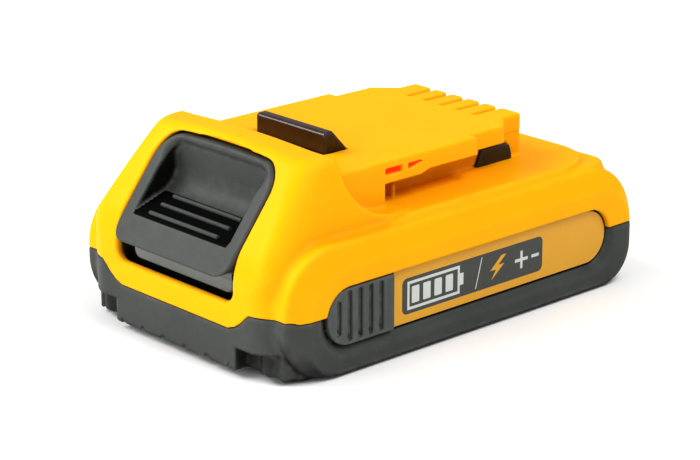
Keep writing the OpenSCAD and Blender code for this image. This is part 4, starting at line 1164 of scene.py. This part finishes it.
class PACK_OT_stage(bpy.types.Operator):
    """Pale floor, soft studio light and the camera"""
    bl_idname = "pack.stage"
    bl_label = "Stage"

    def execute(self, context):
        stage = settings()[2]
        scene = context.scene
        scene.view_settings.view_transform = "Standard"
        scene.view_settings.look = "None"
        scene.view_settings.gamma = 0.8
        self.floor(stage)
        world = bpy.data.worlds.new("studio")
        world.use_nodes = True
        sky = world.node_tree.nodes["Background"]
        sky.inputs["Color"].default_value = grey(1)
        sky.inputs["Strength"].default_value = stage.sky
        scene.world = world
        self.lamp("key", (-0.85, 0.10, 0.22), stage.key)
        self.lamp("left", (-0.45, 0.45, 0.55), stage.left)
        self.lamp("side", (0.10, -0.45, 0.72), stage.side)
        self.camera(scene, stage)
        return {"FINISHED"}

    def floor(self, stage):
        """Wide plane with a faint cloud in its tone."""
        reach = 4
        mesh = bpy.data.meshes.new("floor")
        corners = [(-reach, -reach, 0), (reach, -reach, 0), (reach, reach, 0), (-reach, reach, 0)]
        mesh.from_pydata(corners, [], [(0, 1, 2, 3)])
        plane = put("floor", mesh)
        material, tree, shader = new_material("pale_floor")
        cloud = noise(tree, own_place(tree), 6, 3)
        tone = mix_colour(tree, cloud, tuple(stage.floor), shade(stage.floor, 0.985))
        link(tree, tone, shader.inputs["Base Color"])
        shader.inputs["Roughness"].default_value = 0.8
        mesh.materials.append(material)

    def lamp(self, name, place, power):
        """Round soft light that looks at the pack."""
        data = bpy.data.lights.new(name, "AREA")
        data.shape = "DISK"
        data.size = 0.5
        data.energy = power
        lamp = put(name, data)
        lamp.location = place
        lamp.rotation_euler = (Vector((0, 0, 0.02)) - Vector(place)).to_track_quat("-Z", "Y").to_euler()

    def camera(self, scene, stage):
        """View of the latch end and the right side, from above."""
        data = bpy.data.cameras.new("view")
        data.sensor_width = 36
        data.lens = stage.lens
        data.clip_start = 0.05
        data.clip_end = 20
        view = put("view", data)
        turn, tilt = math.radians(-42.59), math.radians(18.63)
        back = Vector((math.sin(turn) * math.cos(tilt), -math.cos(turn) * math.cos(tilt), math.sin(tilt)))
        right = Vector((math.cos(turn), math.sin(turn), 0))
        axes = Matrix((right, back.cross(right), back)).transposed().to_4x4()
        view.matrix_world = Matrix.Translation((-0.38262, -0.41417, 0.20659)) @ axes
        scene.camera = view


STEPS = (
    PACK_OT_upper_housing, PACK_OT_lower_housing, PACK_OT_release_latch, PACK_OT_latch_springs, PACK_OT_grip_pads,
    PACK_OT_rail_bumpers, PACK_OT_labels, PACK_OT_housing_screws, PACK_OT_inner_parts, PACK_OT_stage,
)


class PACK_PT_panel(bpy.types.Panel):
    """Sizes, colours and steps of the battery pack"""
    bl_idname = "PACK_PT_panel"
    bl_label = "Battery pack"
    bl_space_type = "VIEW_3D"
    bl_region_type = "UI"
    bl_category = "Battery pack"

    def draw(self, context):
        for group in settings():
            box = self.layout.box()
            for key in group.bl_rna.properties.keys():
                if key not in ("rna_type", "name"):
                    box.prop(group, key)
        for step in STEPS:
            self.layout.operator(step.bl_idname)


CLASSES = (PackFinish, PackShape, PackStage) + STEPS + (PACK_PT_panel,)


def register():
    for item in CLASSES:
        bpy.utils.register_class(item)
    bpy.types.Scene.pack_finish = PointerProperty(type=PackFinish)
    bpy.types.Scene.pack_shape = PointerProperty(type=PackShape)
    bpy.types.Scene.pack_stage = PointerProperty(type=PackStage)


def unregister():
    del bpy.types.Scene.pack_stage
    del bpy.types.Scene.pack_shape
    del bpy.types.Scene.pack_finish
    for item in reversed(CLASSES):
        bpy.utils.unregister_class(item)


def main():
    register()
    bpy.ops.pack.upper_housing()
    bpy.ops.pack.lower_housing()
    bpy.ops.pack.release_latch()
    bpy.ops.pack.latch_springs()
    bpy.ops.pack.grip_pads()
    bpy.ops.pack.rail_bumpers()
    bpy.ops.pack.labels()
    bpy.ops.pack.housing_screws()
    bpy.ops.pack.inner_parts()
    bpy.ops.pack.stage()


if __name__ == "__main__":
    main()
